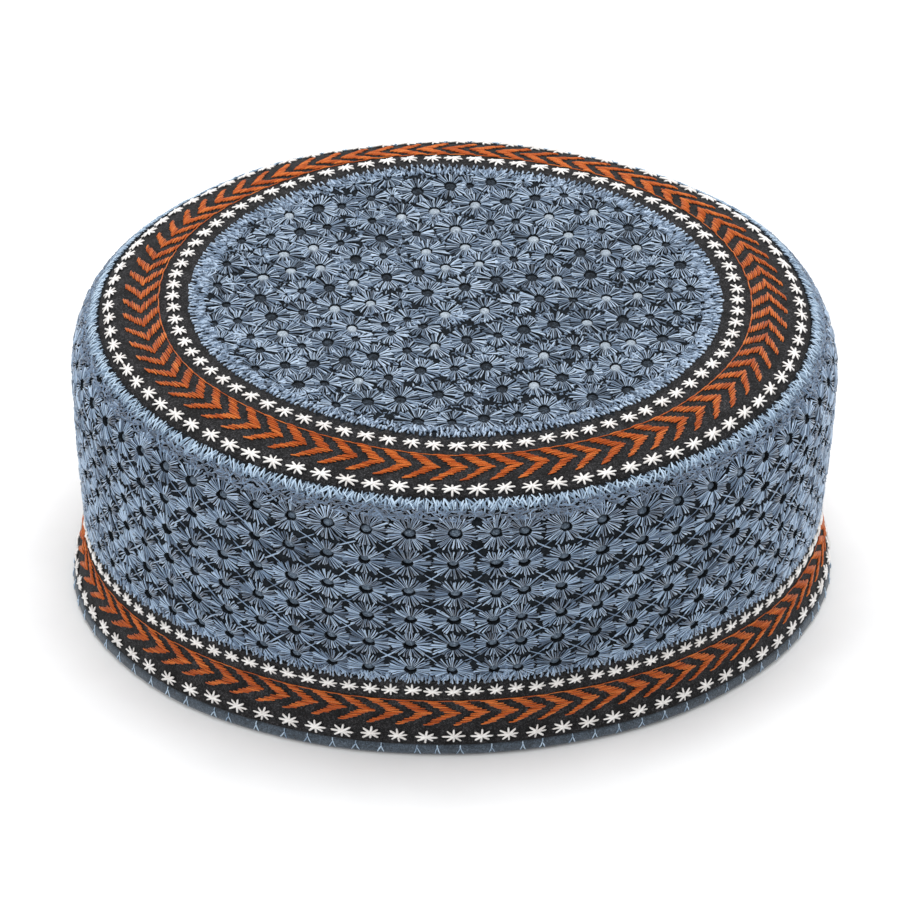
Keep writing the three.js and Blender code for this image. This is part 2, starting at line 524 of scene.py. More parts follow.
# Edging thread: pale blue, thicker and less twisted
EDGING_THREAD = Thread(
    "Pale blue edging thread", "#4c5f73", "#839bb3", "#b8cde0", roughness=0.42
).material()
# Orange satin stitches: loosely spun, so the tone changes from stitch to stitch
ORANGE_THREAD = Thread(
    "Burnt orange satin thread",
    "#5f2609",
    "#ad4c11",
    "#e4883f",
    roughness=0.6,
    twist_size=0.17,
    grain=0.8,
    specular=0.15,
).material()
# Star stitches: bleached cotton with a faint warm tint
WHITE_THREAD = Thread("Bleached cotton thread", "#c9c3c0", "#e4e1de", "#f0eeec").material()


# Meshes


def solid_object(
    name: str,
    points: np.ndarray,
    faces: Sequence[Sequence[int]],
    material: bpy.types.Material,
    shades: np.ndarray | None = None,
) -> bpy.types.Object:
    """Makes an object at the origin from points in millimetres.

    Args:
        name: the piece's name.
        points: rows of x, y and z.
        faces: corners of each face.
        material: the finish.
        shades: one shade a point, where the finish asks for it.

    Returns:
        The object, smooth shaded.
    """
    mesh = bpy.data.meshes.new(name)
    mesh.from_pydata((points * METRES_PER_MM).tolist(), [], faces)
    mesh.validate()
    mesh.shade_smooth()
    mesh.materials.append(material)
    if shades is not None:
        layer = mesh.attributes.new("shade", "FLOAT", "POINT")
        layer.data.foreach_set("value", shades.astype(np.float32))
    made = bpy.data.objects.new(name, mesh)
    bpy.context.scene.collection.objects.link(made)
    return made


def dress(piece: bpy.types.Object, slot: Slot, *nodes: str) -> bpy.types.Object:
    """Puts a piece on the cap's one body, hides the solids that it replaces and logs its faces.

    Args:
        piece: the finished object.
        slot: the record's material slot; not used.
        nodes: the solids that it replaces.

    Returns:
        The piece.
    """
    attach(piece, "root")
    if nodes:
        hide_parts(*nodes)
    log.info("%s: %d faces", piece.name, len(piece.data.polygons))
    return piece


def swept(
    name: str,
    section: Sequence[Span],
    material: bpy.types.Material,
    steps: int = 240,
) -> bpy.types.Object:
    """Closed ring from a section drawn as distance down and lift, swept once round the cap.

    Args:
        name: the piece's name.
        section: corners of the closed section, in order.
        material: the finish.
        steps: faces in the full turn.

    Returns:
        The object.
    """
    down = np.array([corner[0] for corner in section])
    lift = np.array([corner[1] for corner in section])
    turns = np.arange(steps) * FULL_TURN / steps
    count = len(section)
    points = FORM.surface(np.repeat(turns, count), np.tile(down, steps), np.tile(lift, steps))
    faces = []
    for step in range(steps):
        near, far = step * count, ((step + 1) % steps) * count
        for corner in range(count):
            after = (corner + 1) % count
            faces.append((near + corner, near + after, far + after, far + corner))
    return solid_object(name, points, faces, material)


def rounded(
    section: Sequence[tuple[float, float, float]],
    spacing: float = 1.6,
    arc_points: int = 6,
) -> list[Span]:
    """Section with its corners rounded and its long sides divided.

    Args:
        section: distance down, lift and rounding radius of each corner, in order.
        spacing: longest side of the result.
        arc_points: points on each rounded corner.

    Returns:
        Corners as distance down and lift.
    """
    # A rounded corner takes no more than this share of the sides that meet in it
    most = 0.45
    corners = [np.array(corner[:2]) for corner in section]
    count = len(section)
    outline: list[np.ndarray] = []
    for place, (_, _, radius) in enumerate(section):
        here = corners[place]
        before = corners[place - 1] - here
        after = corners[(place + 1) % count] - here
        cut = min(radius, most * np.linalg.norm(before), most * np.linalg.norm(after))
        start = here + before / np.linalg.norm(before) * cut
        end = here + after / np.linalg.norm(after) * cut
        for share in np.linspace(0.0, 1.0, arc_points) if radius > 0 else [0.5]:
            outline.append((1 - share) ** 2 * start + 2 * share * (1 - share) * here + share ** 2 * end)
    divided: list[Span] = []
    for place, here in enumerate(outline):
        after = outline[(place + 1) % len(outline)]
        parts = max(1, int(np.linalg.norm(after - here) / spacing))
        for part in range(parts):
            divided.append(tuple(here + (after - here) * part / parts))
    return divided


# Stitches


@dataclass(frozen=True)
class ThreadRing:
    """One ring of a stitch's thread: place along it, then height and radius in thread radii."""

    along: float
    height: float
    radius: float


class StitchShape(Enum):
    """How a stitch's thread lies between the points where it enters the cloth."""

    # Drawn in at the eyelet, full and lifted towards its outer end
    SPOKE = (
        ThreadRing(along=0.0, height=0.2, radius=0.0),
        ThreadRing(along=0.06, height=0.6, radius=0.62),
        ThreadRing(along=0.5, height=1.0, radius=0.85),
        ThreadRing(along=0.9, height=1.0, radius=1.3),
        ThreadRing(along=1.0, height=0.3, radius=0.0),
    )
    # Evenly full from end to end
    SATIN = (
        ThreadRing(along=0.0, height=0.0, radius=0.0),
        ThreadRing(along=0.07, height=0.5, radius=0.8),
        ThreadRing(along=0.5, height=1.0, radius=1.05),
        ThreadRing(along=0.93, height=0.5, radius=0.8),
        ThreadRing(along=1.0, height=0.0, radius=0.0),
    )

    def mesh_object(self, sides: int) -> bpy.types.Object:
        """Builds the stitch one unit long on +X, as an object out of sight for the stitch tree.

        Args:
            sides: faces round the thread.

        Returns:
            The object.
        """
        points: list[tuple[float, float, float]] = []
        rings: list[list[int]] = []
        for ring in self.value:
            corners = sides if ring.radius > 0 else 1
            rings.append(list(range(len(points), len(points) + corners)))
            for side in range(corners):
                turn = FULL_TURN * (side / sides + 0.25)
                across = ring.radius * math.cos(turn)
                points.append((ring.along, across, ring.height + ring.radius * math.sin(turn)))
        faces: list[tuple[int, ...]] = []
        for near, far in zip(rings, rings[1:]):
            for side in range(sides):
                after = (side + 1) % sides
                if len(near) == 1:
                    faces.append((near[0], far[after], far[side]))
                elif len(far) == 1:
                    faces.append((near[side], near[after], far[0]))
                else:
                    faces.append((near[side], near[after], far[after], far[side]))
        mesh = bpy.data.meshes.new(f"{self.name} stitch")
        mesh.from_pydata(points, [], faces)
        mesh.validate()
        return bpy.data.objects.new(mesh.name, mesh)


STITCH_COLUMNS = ("x", "y", "turn", "length", "width", "shade", "lift")


@dataclass
class Stitches:
    """Places of stitches on a flat drawing, each with its direction, length, width and shade."""

    x: np.ndarray
    y: np.ndarray
    turn: np.ndarray
    length: np.ndarray
    width: np.ndarray
    shade: np.ndarray
    lift: np.ndarray

    @staticmethod
    def between(
        start: np.ndarray,
        end: np.ndarray,
        width: float | np.ndarray = 1.0,
        shade: float | np.ndarray = 0.5,
        lift: float | np.ndarray = 0.0,
    ) -> "Stitches":
        """Stitches from rows of start points to rows of end points."""
        run = end - start
        fill = np.ones(len(start))
        return Stitches(
            x=start[:, 0],
            y=start[:, 1],
            turn=np.arctan2(run[:, 1], run[:, 0]),
            length=np.hypot(run[:, 0], run[:, 1]),
            width=fill * width,
            shade=fill * shade,
            lift=fill * lift,
        )

    def chosen(self, mask: np.ndarray) -> "Stitches":
        """The stitches for which the mask is true."""
        return Stitches(*(getattr(self, name)[mask] for name in STITCH_COLUMNS))

    def places(self) -> bpy.types.Object:
        """The stitches' places as an object of loose points with attributes."""
        mesh = bpy.data.meshes.new("Stitch places")
        mesh.from_pydata(np.stack([self.x, self.y, self.lift], axis=1).tolist(), [], [])
        for name in ("turn", "length", "width", "shade"):
            layer = mesh.attributes.new(name, "FLOAT", "POINT")
            layer.data.foreach_set("value", getattr(self, name).astype(np.float32))
        made = bpy.data.objects.new("Stitch places", mesh)
        bpy.context.scene.collection.objects.link(made)
        return made


class StitchTree:
    """Geometry Nodes tree that sews one stitch of thread at every place."""

    def __init__(self) -> None:
        """Builds the tree with its named inputs."""
        self.tree = bpy.data.node_groups.new("Sewn stitches", "GeometryNodeTree")
        sockets = (
            ("Places", "NodeSocketGeometry"),
            ("Stitch", "NodeSocketObject"),
            ("Thread radius", "NodeSocketFloat"),
            ("Width spread", "NodeSocketFloat"),
            ("Seed", "NodeSocketInt"),
            ("Thread", "NodeSocketMaterial"),
        )
        for name, kind in sockets:
            self.tree.interface.new_socket(name, in_out="INPUT", socket_type=kind)
        self.tree.interface.new_socket("Sewing", in_out="OUTPUT", socket_type="NodeSocketGeometry")
        self._wire()

    def _wire(self) -> None:
        """Links the tree: stitch at each place, turned and drawn out, then made real and finished."""
        tree = self.tree
        given = node(tree, "NodeGroupInput").outputs
        turn, length, width = (
            node(tree, "GeometryNodeInputNamedAttribute", inputs={"Name": name}).outputs["Attribute"]
            for name in ("turn", "length", "width")
        )
        narrow, wide = (
            node(
                tree,
                "ShaderNodeMath",
                settings={"operation": operation},
                inputs={0: 1.0, 1: given["Width spread"]},
            ).outputs[0]
            for operation in ("SUBTRACT", "ADD")
        )
        # The node's third and fourth inputs are the least and greatest number
        uneven = node(
            tree,
            "FunctionNodeRandomValue",
            settings={"data_type": "FLOAT"},
            inputs={2: narrow, 3: wide, "Seed": given["Seed"]},
        ).outputs[1]
        drawn = node(
            tree,
            "ShaderNodeMath",
            settings={"operation": "MULTIPLY"},
            inputs={0: width, 1: given["Thread radius"]},
        ).outputs[0]
        radius = node(
            tree,
            "ShaderNodeMath",
            settings={"operation": "MULTIPLY"},
            inputs={0: drawn, 1: uneven},
        ).outputs[0]
        size = node(
            tree, "ShaderNodeCombineXYZ", inputs={"X": length, "Y": radius, "Z": radius}
        ).outputs[0]
        heading = node(tree, "ShaderNodeCombineXYZ", inputs={"Z": turn}).outputs[0]
        stitch = node(
            tree, "GeometryNodeObjectInfo", inputs={"Object": given["Stitch"]}
        ).outputs["Geometry"]
        sewn = node(
            tree,
            "GeometryNodeInstanceOnPoints",
            inputs={
                "Points": given["Places"],
                "Instance": stitch,
                "Rotation": heading,
                "Scale": size,
            },
        ).outputs["Instances"]
        real = node(tree, "GeometryNodeRealizeInstances", inputs={"Geometry": sewn}).outputs[0]
        smooth = node(tree, "GeometryNodeSetShadeSmooth", inputs={"Geometry": real}).outputs[0]
        finished = node(
            tree,
            "GeometryNodeSetMaterial",
            inputs={"Geometry": smooth, "Material": given["Thread"]},
        ).outputs[0]
        node(tree, "NodeGroupOutput", inputs={"Sewing": finished})

    def socket(self, name: str) -> str:
        """Identifier of a named input."""
        for item in self.tree.interface.items_tree:
            if item.item_type == "SOCKET" and item.in_out == "INPUT" and item.name == name:
                return item.identifier
        raise KeyError(name)


STITCH_TREE = StitchTree()
# Faces round the thread: fewer on the fine spokes, of which there are many thousands
STITCH_SIDES = {StitchShape.SPOKE: 3, StitchShape.SATIN: 4}
STITCH_OBJECTS = {shape: shape.mesh_object(sides) for shape, sides in STITCH_SIDES.items()}


# Bends of slack thread, in radians for a millimetre along x and y: two that push the thread along x,
# then two along y; the second of each pair starts at the work's own seed
SLACK_BENDS = ((2.9, 1.3), (-1.9, 3.7), (1.1, 2.6), (3.9, -1.7))


@dataclass(frozen=True)
class Needlework:
    """How one kind of stitch is sewn: thread, radius, evenness and seed.

    The wobble is how far a thread strays from its straight course.
    """

    thread: bpy.types.Material
    slot: Slot
    thread_radius: float
    shape: StitchShape = StitchShape.SATIN
    width_spread: float = 0.12
    seed: int = 1
    wobble: float = 0.1

    def uneven(self, flat: np.ndarray) -> np.ndarray:
        """Bends the threads of a flat drawing a little, as slack cotton lies."""
        x, y, lift = flat.T
        bends = [
            np.sin(x * run_x + y * run_y + self.seed * (place % 2))
            for place, (run_x, run_y) in enumerate(SLACK_BENDS)
        ]
        moved_x = x + self.wobble * (bends[0] + bends[1])
        moved_y = y + self.wobble * (bends[2] + bends[3])
        return np.stack([moved_x, moved_y, lift], axis=1)

    def sew(self, name: str, stitches: Stitches, wrap: Wrap, *nodes: str) -> bpy.types.Object:
        """Sews a flat drawing and lays it on the cap.

        Args:
            name: the piece's name.
            stitches: the drawing.
            wrap: the function that lays flat points on the cap.
            nodes: the solids that the piece replaces.

        Returns:
            The piece.
        """
        places = stitches.places()
        modifier = places.modifiers.new("Sewing", "NODES")
        modifier.node_group = STITCH_TREE.tree
        settings = {
            "Stitch": STITCH_OBJECTS[self.shape],
            "Thread radius": self.thread_radius,
            "Width spread": self.width_spread,
            "Seed": self.seed,
            "Thread": self.thread,
        }
        for key, value in settings.items():
            modifier[STITCH_TREE.socket(key)] = value
        graph = bpy.context.evaluated_depsgraph_get()
        mesh = bpy.data.meshes.new_from_object(places.evaluated_get(graph))
        bpy.data.objects.remove(places)
        flat = np.empty(len(mesh.vertices) * 3, dtype=np.float32)
        mesh.vertices.foreach_get("co", flat)
        laid = wrap(self.uneven(flat.reshape(-1, 3).astype(float))) * METRES_PER_MM
        mesh.vertices.foreach_set("co", laid.astype(np.float32).ravel())
        for attribute in ("turn", "length", "width"):
            if attribute in mesh.attributes:
                mesh.attributes.remove(mesh.attributes[attribute])
        mesh.update()
        mesh.name = name
        piece = bpy.data.objects.new(name, mesh)
        bpy.context.scene.collection.objects.link(piece)
        return dress(piece, self.slot, *nodes)


def spread_round(
    chance: np.random.Generator, count: int, stray: float, radius: float
) -> np.ndarray:
    """Places along a ring at an even pitch, each moved by chance.

    Args:
        chance: the uneven hand.
        count: places in the full round.
        stray: most that a place is moved, as a share of the pitch.
        radius: radius of the ring.

    Returns:
        Distances along the ring, which are turns in radians where its radius is 1.
    """
    return (np.arange(count) + chance.uniform(-stray, stray, count)) * FULL_TURN * radius / count


# Eyelet work


@dataclass
class Rosettes:
    """Eyelets on a flat drawing, each ringed by stitches that radiate from its hole.

    The spacing is the pitch of the stitches' outer ends, the trim is how far a stitch may run past
    the middle of the gap to its neighbour, and a gather over 1 turns more stitches up and down.
    """

    x: np.ndarray
    y: np.ndarray
    reach_x: np.ndarray
    reach_y: np.ndarray
    hole_x: np.ndarray
    hole_y: np.ndarray
    spacing: float = 1.05
    trim: float = 0.35
    gather: float = 1.0

    # The uneven hand: stray of a stitch's place in pitches, then spans of its reach, end, shade and lift
    place_stray: float = 0.36
    reach_span: Span = (0.8, 1.12)
    end_span: Span = (-0.35, 0.45)
    shade_span: Span = (0.0, 1.05)
    shade_stray: float = 0.12
    lift_span: Span = (0.0, 0.3)
    # Fewest stitches of an eyelet, share of the hole's radius where they start, least length past it
    fewest: int = 12
    tuck: float = 0.93
    shortest: float = 0.7
    # Neighbours nearer than this many reaches count, if a stitch faces them by more than this cosine
    neighbour_reaches: float = 2.4
    least_facing: float = 0.15
    least_border: float = 0.25

    def hole_outlines(self, sides: int = 14) -> list[np.ndarray]:
        """Outline of each eyelet's hole, counterclockwise."""
        turns = np.arange(sides) * FULL_TURN / sides
        return [
            np.stack([x + hx * np.cos(turns), y + hy * np.sin(turns)], axis=1)
            for x, y, hx, hy in zip(self.x, self.y, self.hole_x, self.hole_y)
        ]

    def spokes(self, seed: int, period: float | None = None) -> Stitches:
        """Stitches that radiate from every eyelet and stop where a neighbour's begin.

        Args:
            seed: seed of the uneven hand.
            period: length of the strip where it joins up with itself, if it does.

        Returns:
            The stitches.
        """
        chance = np.random.default_rng(seed)
        starts, ends, shades, lifts = [], [], [], []
        size = 0.5 * (self.reach_x + self.reach_y)
        for place in range(len(self.x)):
            middle = np.array([self.x[place], self.y[place]])
            girth = math.pi * (self.reach_x[place] + self.reach_y[place])
            count = max(self.fewest, int(round(girth / self.spacing)))
            turns = spread_round(chance, count, self.place_stray, 1.0)
            turns += chance.uniform(0, FULL_TURN / count)
            hole = np.array([self.hole_x[place], self.hole_y[place]])
            reach = np.array([self.reach_x[place], self.reach_y[place]])
            heading = np.stack([np.cos(turns), self.gather * np.sin(turns)], axis=1) * reach
            heading /= np.linalg.norm(heading, axis=1)[:, None]
            full = 1.0 / np.hypot(heading[:, 0] / reach[0], heading[:, 1] / reach[1])
            inner = 1.0 / np.hypot(heading[:, 0] / hole[0], heading[:, 1] / hole[1])
            limit = full * chance.uniform(*self.reach_span, count)
            gap = np.stack([self.x - middle[0], self.y - middle[1]], axis=1)
            if period is not None:
                gap[:, 0] = (gap[:, 0] + period / 2) % period - period / 2
            far = np.hypot(gap[:, 0], gap[:, 1])
            near = (far > 0.0) & (far < self.neighbour_reaches * reach.max())
            for offset, distance, other in zip(gap[near], far[near], size[near]):
                facing = heading @ (offset / distance)
                border = (distance ** 2 + size[place] ** 2 - other ** 2) / (2 * distance)
                border = max(border, self.least_border * distance)
                stop = border / np.maximum(facing, self.least_facing)
                stop[facing <= self.least_facing] = np.inf
                stray = chance.uniform(*self.end_span, count)
                limit = np.minimum(limit, stop + self.trim + stray)
            limit = np.maximum(limit, inner + self.shortest)
            starts.append(middle + heading * (inner * self.tuck)[:, None])
            ends.append(middle + heading * limit[:, None])
            shade = chance.uniform(*self.shade_span, count)
            shades.append(shade + chance.uniform(-self.shade_stray, self.shade_stray))
            lifts.append(chance.uniform(*self.lift_span, count))
        return Stitches.between(
            np.concatenate(starts),
            np.concatenate(ends),
            shade=np.concatenate(shades),
            lift=np.concatenate(lifts),
        )


def pierced_cloth(
    name: str,
    outline: np.ndarray,
    holes: Sequence[np.ndarray],
    grid: np.ndarray,
    wrap: Wrap,
    material: bpy.types.Material,
    merge: bool = False,
    clearance: float = 0.8,
) -> bpy.types.Object:
    """Cloth drawn flat with holes, laid on the cap and given its thickness inwards.

    Args:
        name: the piece's name.
        outline: corners of the cloth's edge, counterclockwise.
        holes: corners of each hole.
        grid: points that divide the cloth between the holes.
        wrap: the function that lays flat points on the cap.
        material: the finish.
        merge: True where the strip's two ends meet on the cap.
        clearance: least distance from a hole's corners to a point of the grid.

    Returns:
        The object.
    """
    # Points closer than this are one; a face whose middle lies inside this share of a hole is cut
    same_point = 1e-6
    inside_share = 0.985
    weld_distance = 0.02
    points = [outline]
    loops = [list(range(len(outline)))]
    total = len(outline)
    for hole in holes:
        loops.append(list(range(total, total + len(hole))))
        total += len(hole)
        points.append(hole)
    rims = np.concatenate(points[1:])
    free = [
        point for point in grid
        if np.min(np.hypot(rims[:, 0] - point[0], rims[:, 1] - point[1])) > clearance
    ]
    for hole in holes:
        middle = hole.mean(axis=0)
        reach = np.max(np.hypot(*(hole - middle).T))
        free = [point for point in free if np.hypot(*(point - middle)) > reach]
    points.append(np.array(free))
    flat = np.concatenate(points)
    edges = [(loop[place - 1], loop[place]) for loop in loops for place in range(len(loop))]
    vertices, _, triangles, _, _, _ = delaunay_2d_cdt(
        [Vector(point) for point in flat], edges, [], 0, same_point
    )
    flat = np.array([tuple(vertex) for vertex in vertices])
    centres = flat[np.array(triangles)].mean(axis=1)
    keep = np.ones(len(centres), dtype=bool)
    for hole in holes:
        middle = hole.mean(axis=0)
        radii = np.max(np.abs(hole - middle), axis=0)
        keep &= np.hypot(*((centres - middle) / radii).T) > inside_share
    faces = [triangle for triangle, kept in zip(triangles, keep) if kept]
    laid = wrap(np.column_stack([flat, np.zeros(len(flat))]))
    made = solid_object(name, laid, faces, material)
    if merge:
        weld = made.modifiers.new("Joined ends", "WELD")
        weld.merge_threshold = weld_distance * METRES_PER_MM
    wall = made.modifiers.new("Thickness", "SOLIDIFY")
    wall.thickness = CLOTH_THICKNESS * METRES_PER_MM
    wall.offset = -1.0
    return made


def fillings(
    name: str,
    places: np.ndarray,
    radii: np.ndarray,
    tops: np.ndarray,
    wrap: Wrap,
    material: bpy.types.Material,
    sides: int = 10,
) -> bpy.types.Object:
    """Soft filling that swells into each eyelet from behind.

    Args:
        name: the piece's name.
        places: rows of x and y on the flat drawing.
        radii: rows of the filling's reach along x and y.
        tops: lift of each filling's crest.
        wrap: the function that lays flat points on the cap.
        material: the finish.
        sides: faces round each filling.

    Returns:
        The object.
    """
    # It stands just off the lining, and each ring of its dome has a share of the reach and a dip
    foot = LINING_FACE + 0.05
    dome = ((1.0, None), (0.97, -0.3), (0.72, -0.1), (0.38, 0.0))
    turns = np.arange(sides) * FULL_TURN / sides
    points, faces = [], []
    for (x, y), (reach_x, reach_y), top in zip(places, radii, tops):
        first = len(points)
        for share, dip in dome:
            lift = foot if dip is None else top + dip
            for turn in turns:
                across = share * reach_x * math.cos(turn)
                along = share * reach_y * math.sin(turn)
                points.append((x + across, y + along, lift))
        for ring in range(len(dome) - 1):
            near, far = first + ring * sides, first + (ring + 1) * sides
            for side in range(sides):
                after = (side + 1) % sides
                faces.append((near + side, near + after, far + after, far + side))
        faces.append(tuple(first + (len(dome) - 1) * sides + side for side in range(sides)))
        faces.append(tuple(first + side for side in reversed(range(sides))))
    return solid_object(name, wrap(np.array(points)), faces, material)


# Rings of stars and chevrons, and the edges of the eyelet work

# Thread radius of every star
STAR_THREAD_RADIUS = 0.33


@dataclass(frozen=True)
class StarRing:
    """Ring of stars, each sewn as four stitches that cross in its middle.

    The start is the first star's place in pitches, and spans of the arms and shades are by chance.
    """

    name: str
    down: float
    count: int
    arm_along: float
    arm_across: float
    start: float
    seed: int
    sway: Sway | None = None
    arms: int = 4
    place_stray: float = 0.18
    tilt_stray: float = 0.12
    arm_stray: float = 0.09
    arm_span: Span = (0.86, 1.06)
    shade_span: Span = (0.3, 0.9)
    # Lift of the first stitch sewn and of each one over it; the upright arm is sewn first
    first_lift: float = 0.05
    lift_step: float = 0.11

    def sew(self, work: Needlework) -> bpy.types.Object:
        """Sews the ring of stars.

        Args:
            work: thread and stitch.

        Returns:
            The piece.
        """
        chance = np.random.default_rng(self.seed)
        radius = FORM.radius_at(self.down)
        starts, ends, lifts, shades = [], [], [], []
        for place in range(self.count):
            shift = chance.uniform(-self.place_stray, self.place_stray, 2)
            along = (place + self.start) * FULL_TURN * radius / self.count
            middle = np.array([along, 0.0]) + shift
            tilt = chance.uniform(-self.tilt_stray, self.tilt_stray)
            for arm in range(self.arms):
                turn = tilt + math.pi * arm / self.arms + chance.uniform(-self.arm_stray, self.arm_stray)
                heading = np.array([math.cos(turn) * self.arm_along, math.sin(turn) * self.arm_across])
                near, far = chance.uniform(*self.arm_span, 2)
                starts.append(middle - heading * near)
                ends.append(middle + heading * far)
                lifts.append(self.first_lift + self.lift_step * ((arm + 2) % self.arms))
                shades.append(chance.uniform(*self.shade_span))
        drawing = Stitches.between(
            np.array(starts), np.array(ends), shade=np.array(shades), lift=np.array(lifts)
        )
        return work.sew(self.name, drawing, FORM.ring_wrap(self.down, self.sway))


@dataclass(frozen=True)
class ChevronArm:
    """One arm of a chevron as a stack of level stitches, each value from its first row to its last.

    Places along the ring are shares of the pitch, and places across it shares of the reach. A slant
    is how far a stitch's end lies below its row.
    """

    left: Span
    right: Span
    down: Span
    left_slant: float
    right_slant: Span
    width: float


CHEVRON_ARMS = (
    ChevronArm(
        left=(0.0, 0.69),
        right=(0.52, 1.32),
        down=(0.02, 0.45),
        left_slant=-0.01,
        right_slant=(0.0, 0.03),
        width=1.0,
    ),
    ChevronArm(
        left=(0.68, 0.02),
        right=(1.32, 0.38),
        down=(0.53, 0.97),
        left_slant=0.02,
        right_slant=(-0.025, -0.025),
        width=0.95,
    ),
)


@dataclass(frozen=True)
class ChevronRing:
    """Ring of chevrons, each two stacks of short satin stitches, hung from a thin sewn line."""

    name: str
    line_down: float
    count: int
    reach: float
    replaces: str
    seed: int
    rows: int = 8
    thread_radius: float = 0.27
    start: float = 0.2
    sway: Sway | None = None
    end_stray: float = 0.05
    shade_span: Span = (0.1, 0.4)
    lift: float = 0.05
    lift_stray: float = 0.12
    # The line's stitch in each pitch: its two ends and its width
    line_stitch: tuple[float, float, float] = (0.42, 1.12, 0.55)

    def sew(self) -> bpy.types.Object:
        """Sews the chevrons and the line that joins them."""
        chance = np.random.default_rng(self.seed)
        radius = FORM.radius_at(self.line_down)
        pitch = FULL_TURN * radius / self.count
        starts, ends, widths, shades, lifts = [], [], [], [], []

        def stitch(start: Span, end: Span, width: float, lift: float) -> None:
            """Adds one stitch, given along the ring in pitches and outwards in shares of the reach."""
            starts.append(((start[0] + self.start) * pitch, -start[1] * self.reach))
            ends.append(((end[0] + self.start) * pitch, -end[1] * self.reach))
            widths.append(width)
            shades.append(chance.uniform(*self.shade_span))
            lifts.append(lift + chance.uniform(0.0, self.lift_stray))

        for place in range(self.count):
            for share in np.linspace(0.0, 1.0, self.rows):
                strays = chance.uniform(-self.end_stray, self.end_stray, (len(CHEVRON_ARMS), 2))
                for arm, (left_stray, right_stray) in zip(CHEVRON_ARMS, strays):
                    left, right, down, slant = (
                        first + (last - first) * share
                        for first, last in (arm.left, arm.right, arm.down, arm.right_slant)
                    )
                    stitch(
                        (place + left + left_stray, down + arm.left_slant),
                        (place + right + right_stray, down + slant),
                        arm.width,
                        self.lift,
                    )
            first, last, width = self.line_stitch
            stitch((place + first, 0.0), (place + last, 0.0), width, 0.0)
        drawing = Stitches.between(
            np.array(starts), np.array(ends), np.array(widths), np.array(shades), np.array(lifts)
        )
        work = Needlework(
            ORANGE_THREAD, Slot.ORANGE_THREAD, self.thread_radius, seed=self.seed, wobble=0.04
        )
        wrap = FORM.ring_wrap(self.line_down, self.sway)
        return work.sew(self.name, drawing, wrap, self.replaces)


@dataclass(frozen=True)
class Fringe:
    """Stitches along one edge of the eyelet work: small upright ones over a band of close ones.

    Heights are counted up from the edge's line. A close stitch ends a fall below its top, and no
    lower than the lowest height, or at a height of its own where no fall is given.
    """

    name: str
    line: float
    thread: bpy.types.Material
    slot: Slot
    seed: int
    stitch_seeds: tuple[int, int]
    teeth: int
    tooth_top: float
    tooth_foot: float
    foot_span: Span
    tooth_shades: Span
    close: int
    close_top: Span
    close_lean: float
    close_shades: Span
    close_lift: float
    close_radius: float
    close_fall: Span | None = None
    close_foot: Span | None = None
    sway: Sway | None = None
    tooth_radius: float = 0.27
    tooth_stray: float = 0.15
    tooth_lean: float = 0.35
    tooth_lift: float = 0.15
    close_stray: float = 0.3
    lowest: float = -0.3

    def sew(self) -> None:
        """Sews the upright stitches, then the close ones."""
        wrap = FORM.ring_wrap(self.line, self.sway)
        radius = FORM.radius_at(self.line)
        chance = np.random.default_rng(self.seed)
        teeth, close = self.teeth, self.close
        x = spread_round(chance, teeth, self.tooth_stray, radius)
        lean = chance.uniform(-self.tooth_lean, self.tooth_lean, teeth)
        foot = self.tooth_foot - chance.uniform(*self.foot_span, teeth)
        drawing = Stitches.between(
            np.stack([x, np.full(teeth, self.tooth_top)], axis=1),
            np.stack([x + lean, foot], axis=1),
            shade=chance.uniform(*self.tooth_shades, teeth),
            lift=self.tooth_lift,
        )
        first, second = self.stitch_seeds
        comb = Needlework(self.thread, self.slot, self.tooth_radius, StitchShape.SPOKE, seed=first)
        comb.sew(f"{self.name}_comb_edge", drawing, wrap)
        x = spread_round(chance, close, self.close_stray, radius)
        top = chance.uniform(*self.close_top, close)
        lean = chance.uniform(-self.close_lean, self.close_lean, close)
        if self.close_fall is not None:
            foot = np.maximum(top - chance.uniform(*self.close_fall, close), self.lowest)
        else:
            foot = chance.uniform(*self.close_foot, close)
        drawing = Stitches.between(
            np.stack([x, top], axis=1),
            np.stack([x + lean, foot], axis=1),
            shade=chance.uniform(*self.close_shades, close),
            lift=chance.uniform(0.0, self.close_lift, close),
        )
        border = Needlework(self.thread, self.slot, self.close_radius, seed=second)
        border.sew(f"{self.name}_border_stitches", drawing, wrap)


# Sub-assemblies of the cap


class EyeletKind(Enum):
    """Kinds of crown eyelet: reach of its stitches across and along, then the hole's radii likewise."""

    LARGE = (6.0, 6.6, 1.65, 2.45)
    PALE = (5.9, 6.3, 1.60, 2.15)
    MEDIUM = (5.2, 5.7, 1.25, 1.75)
    SMALL = (3.3, 4.0, 0.55, 0.80)


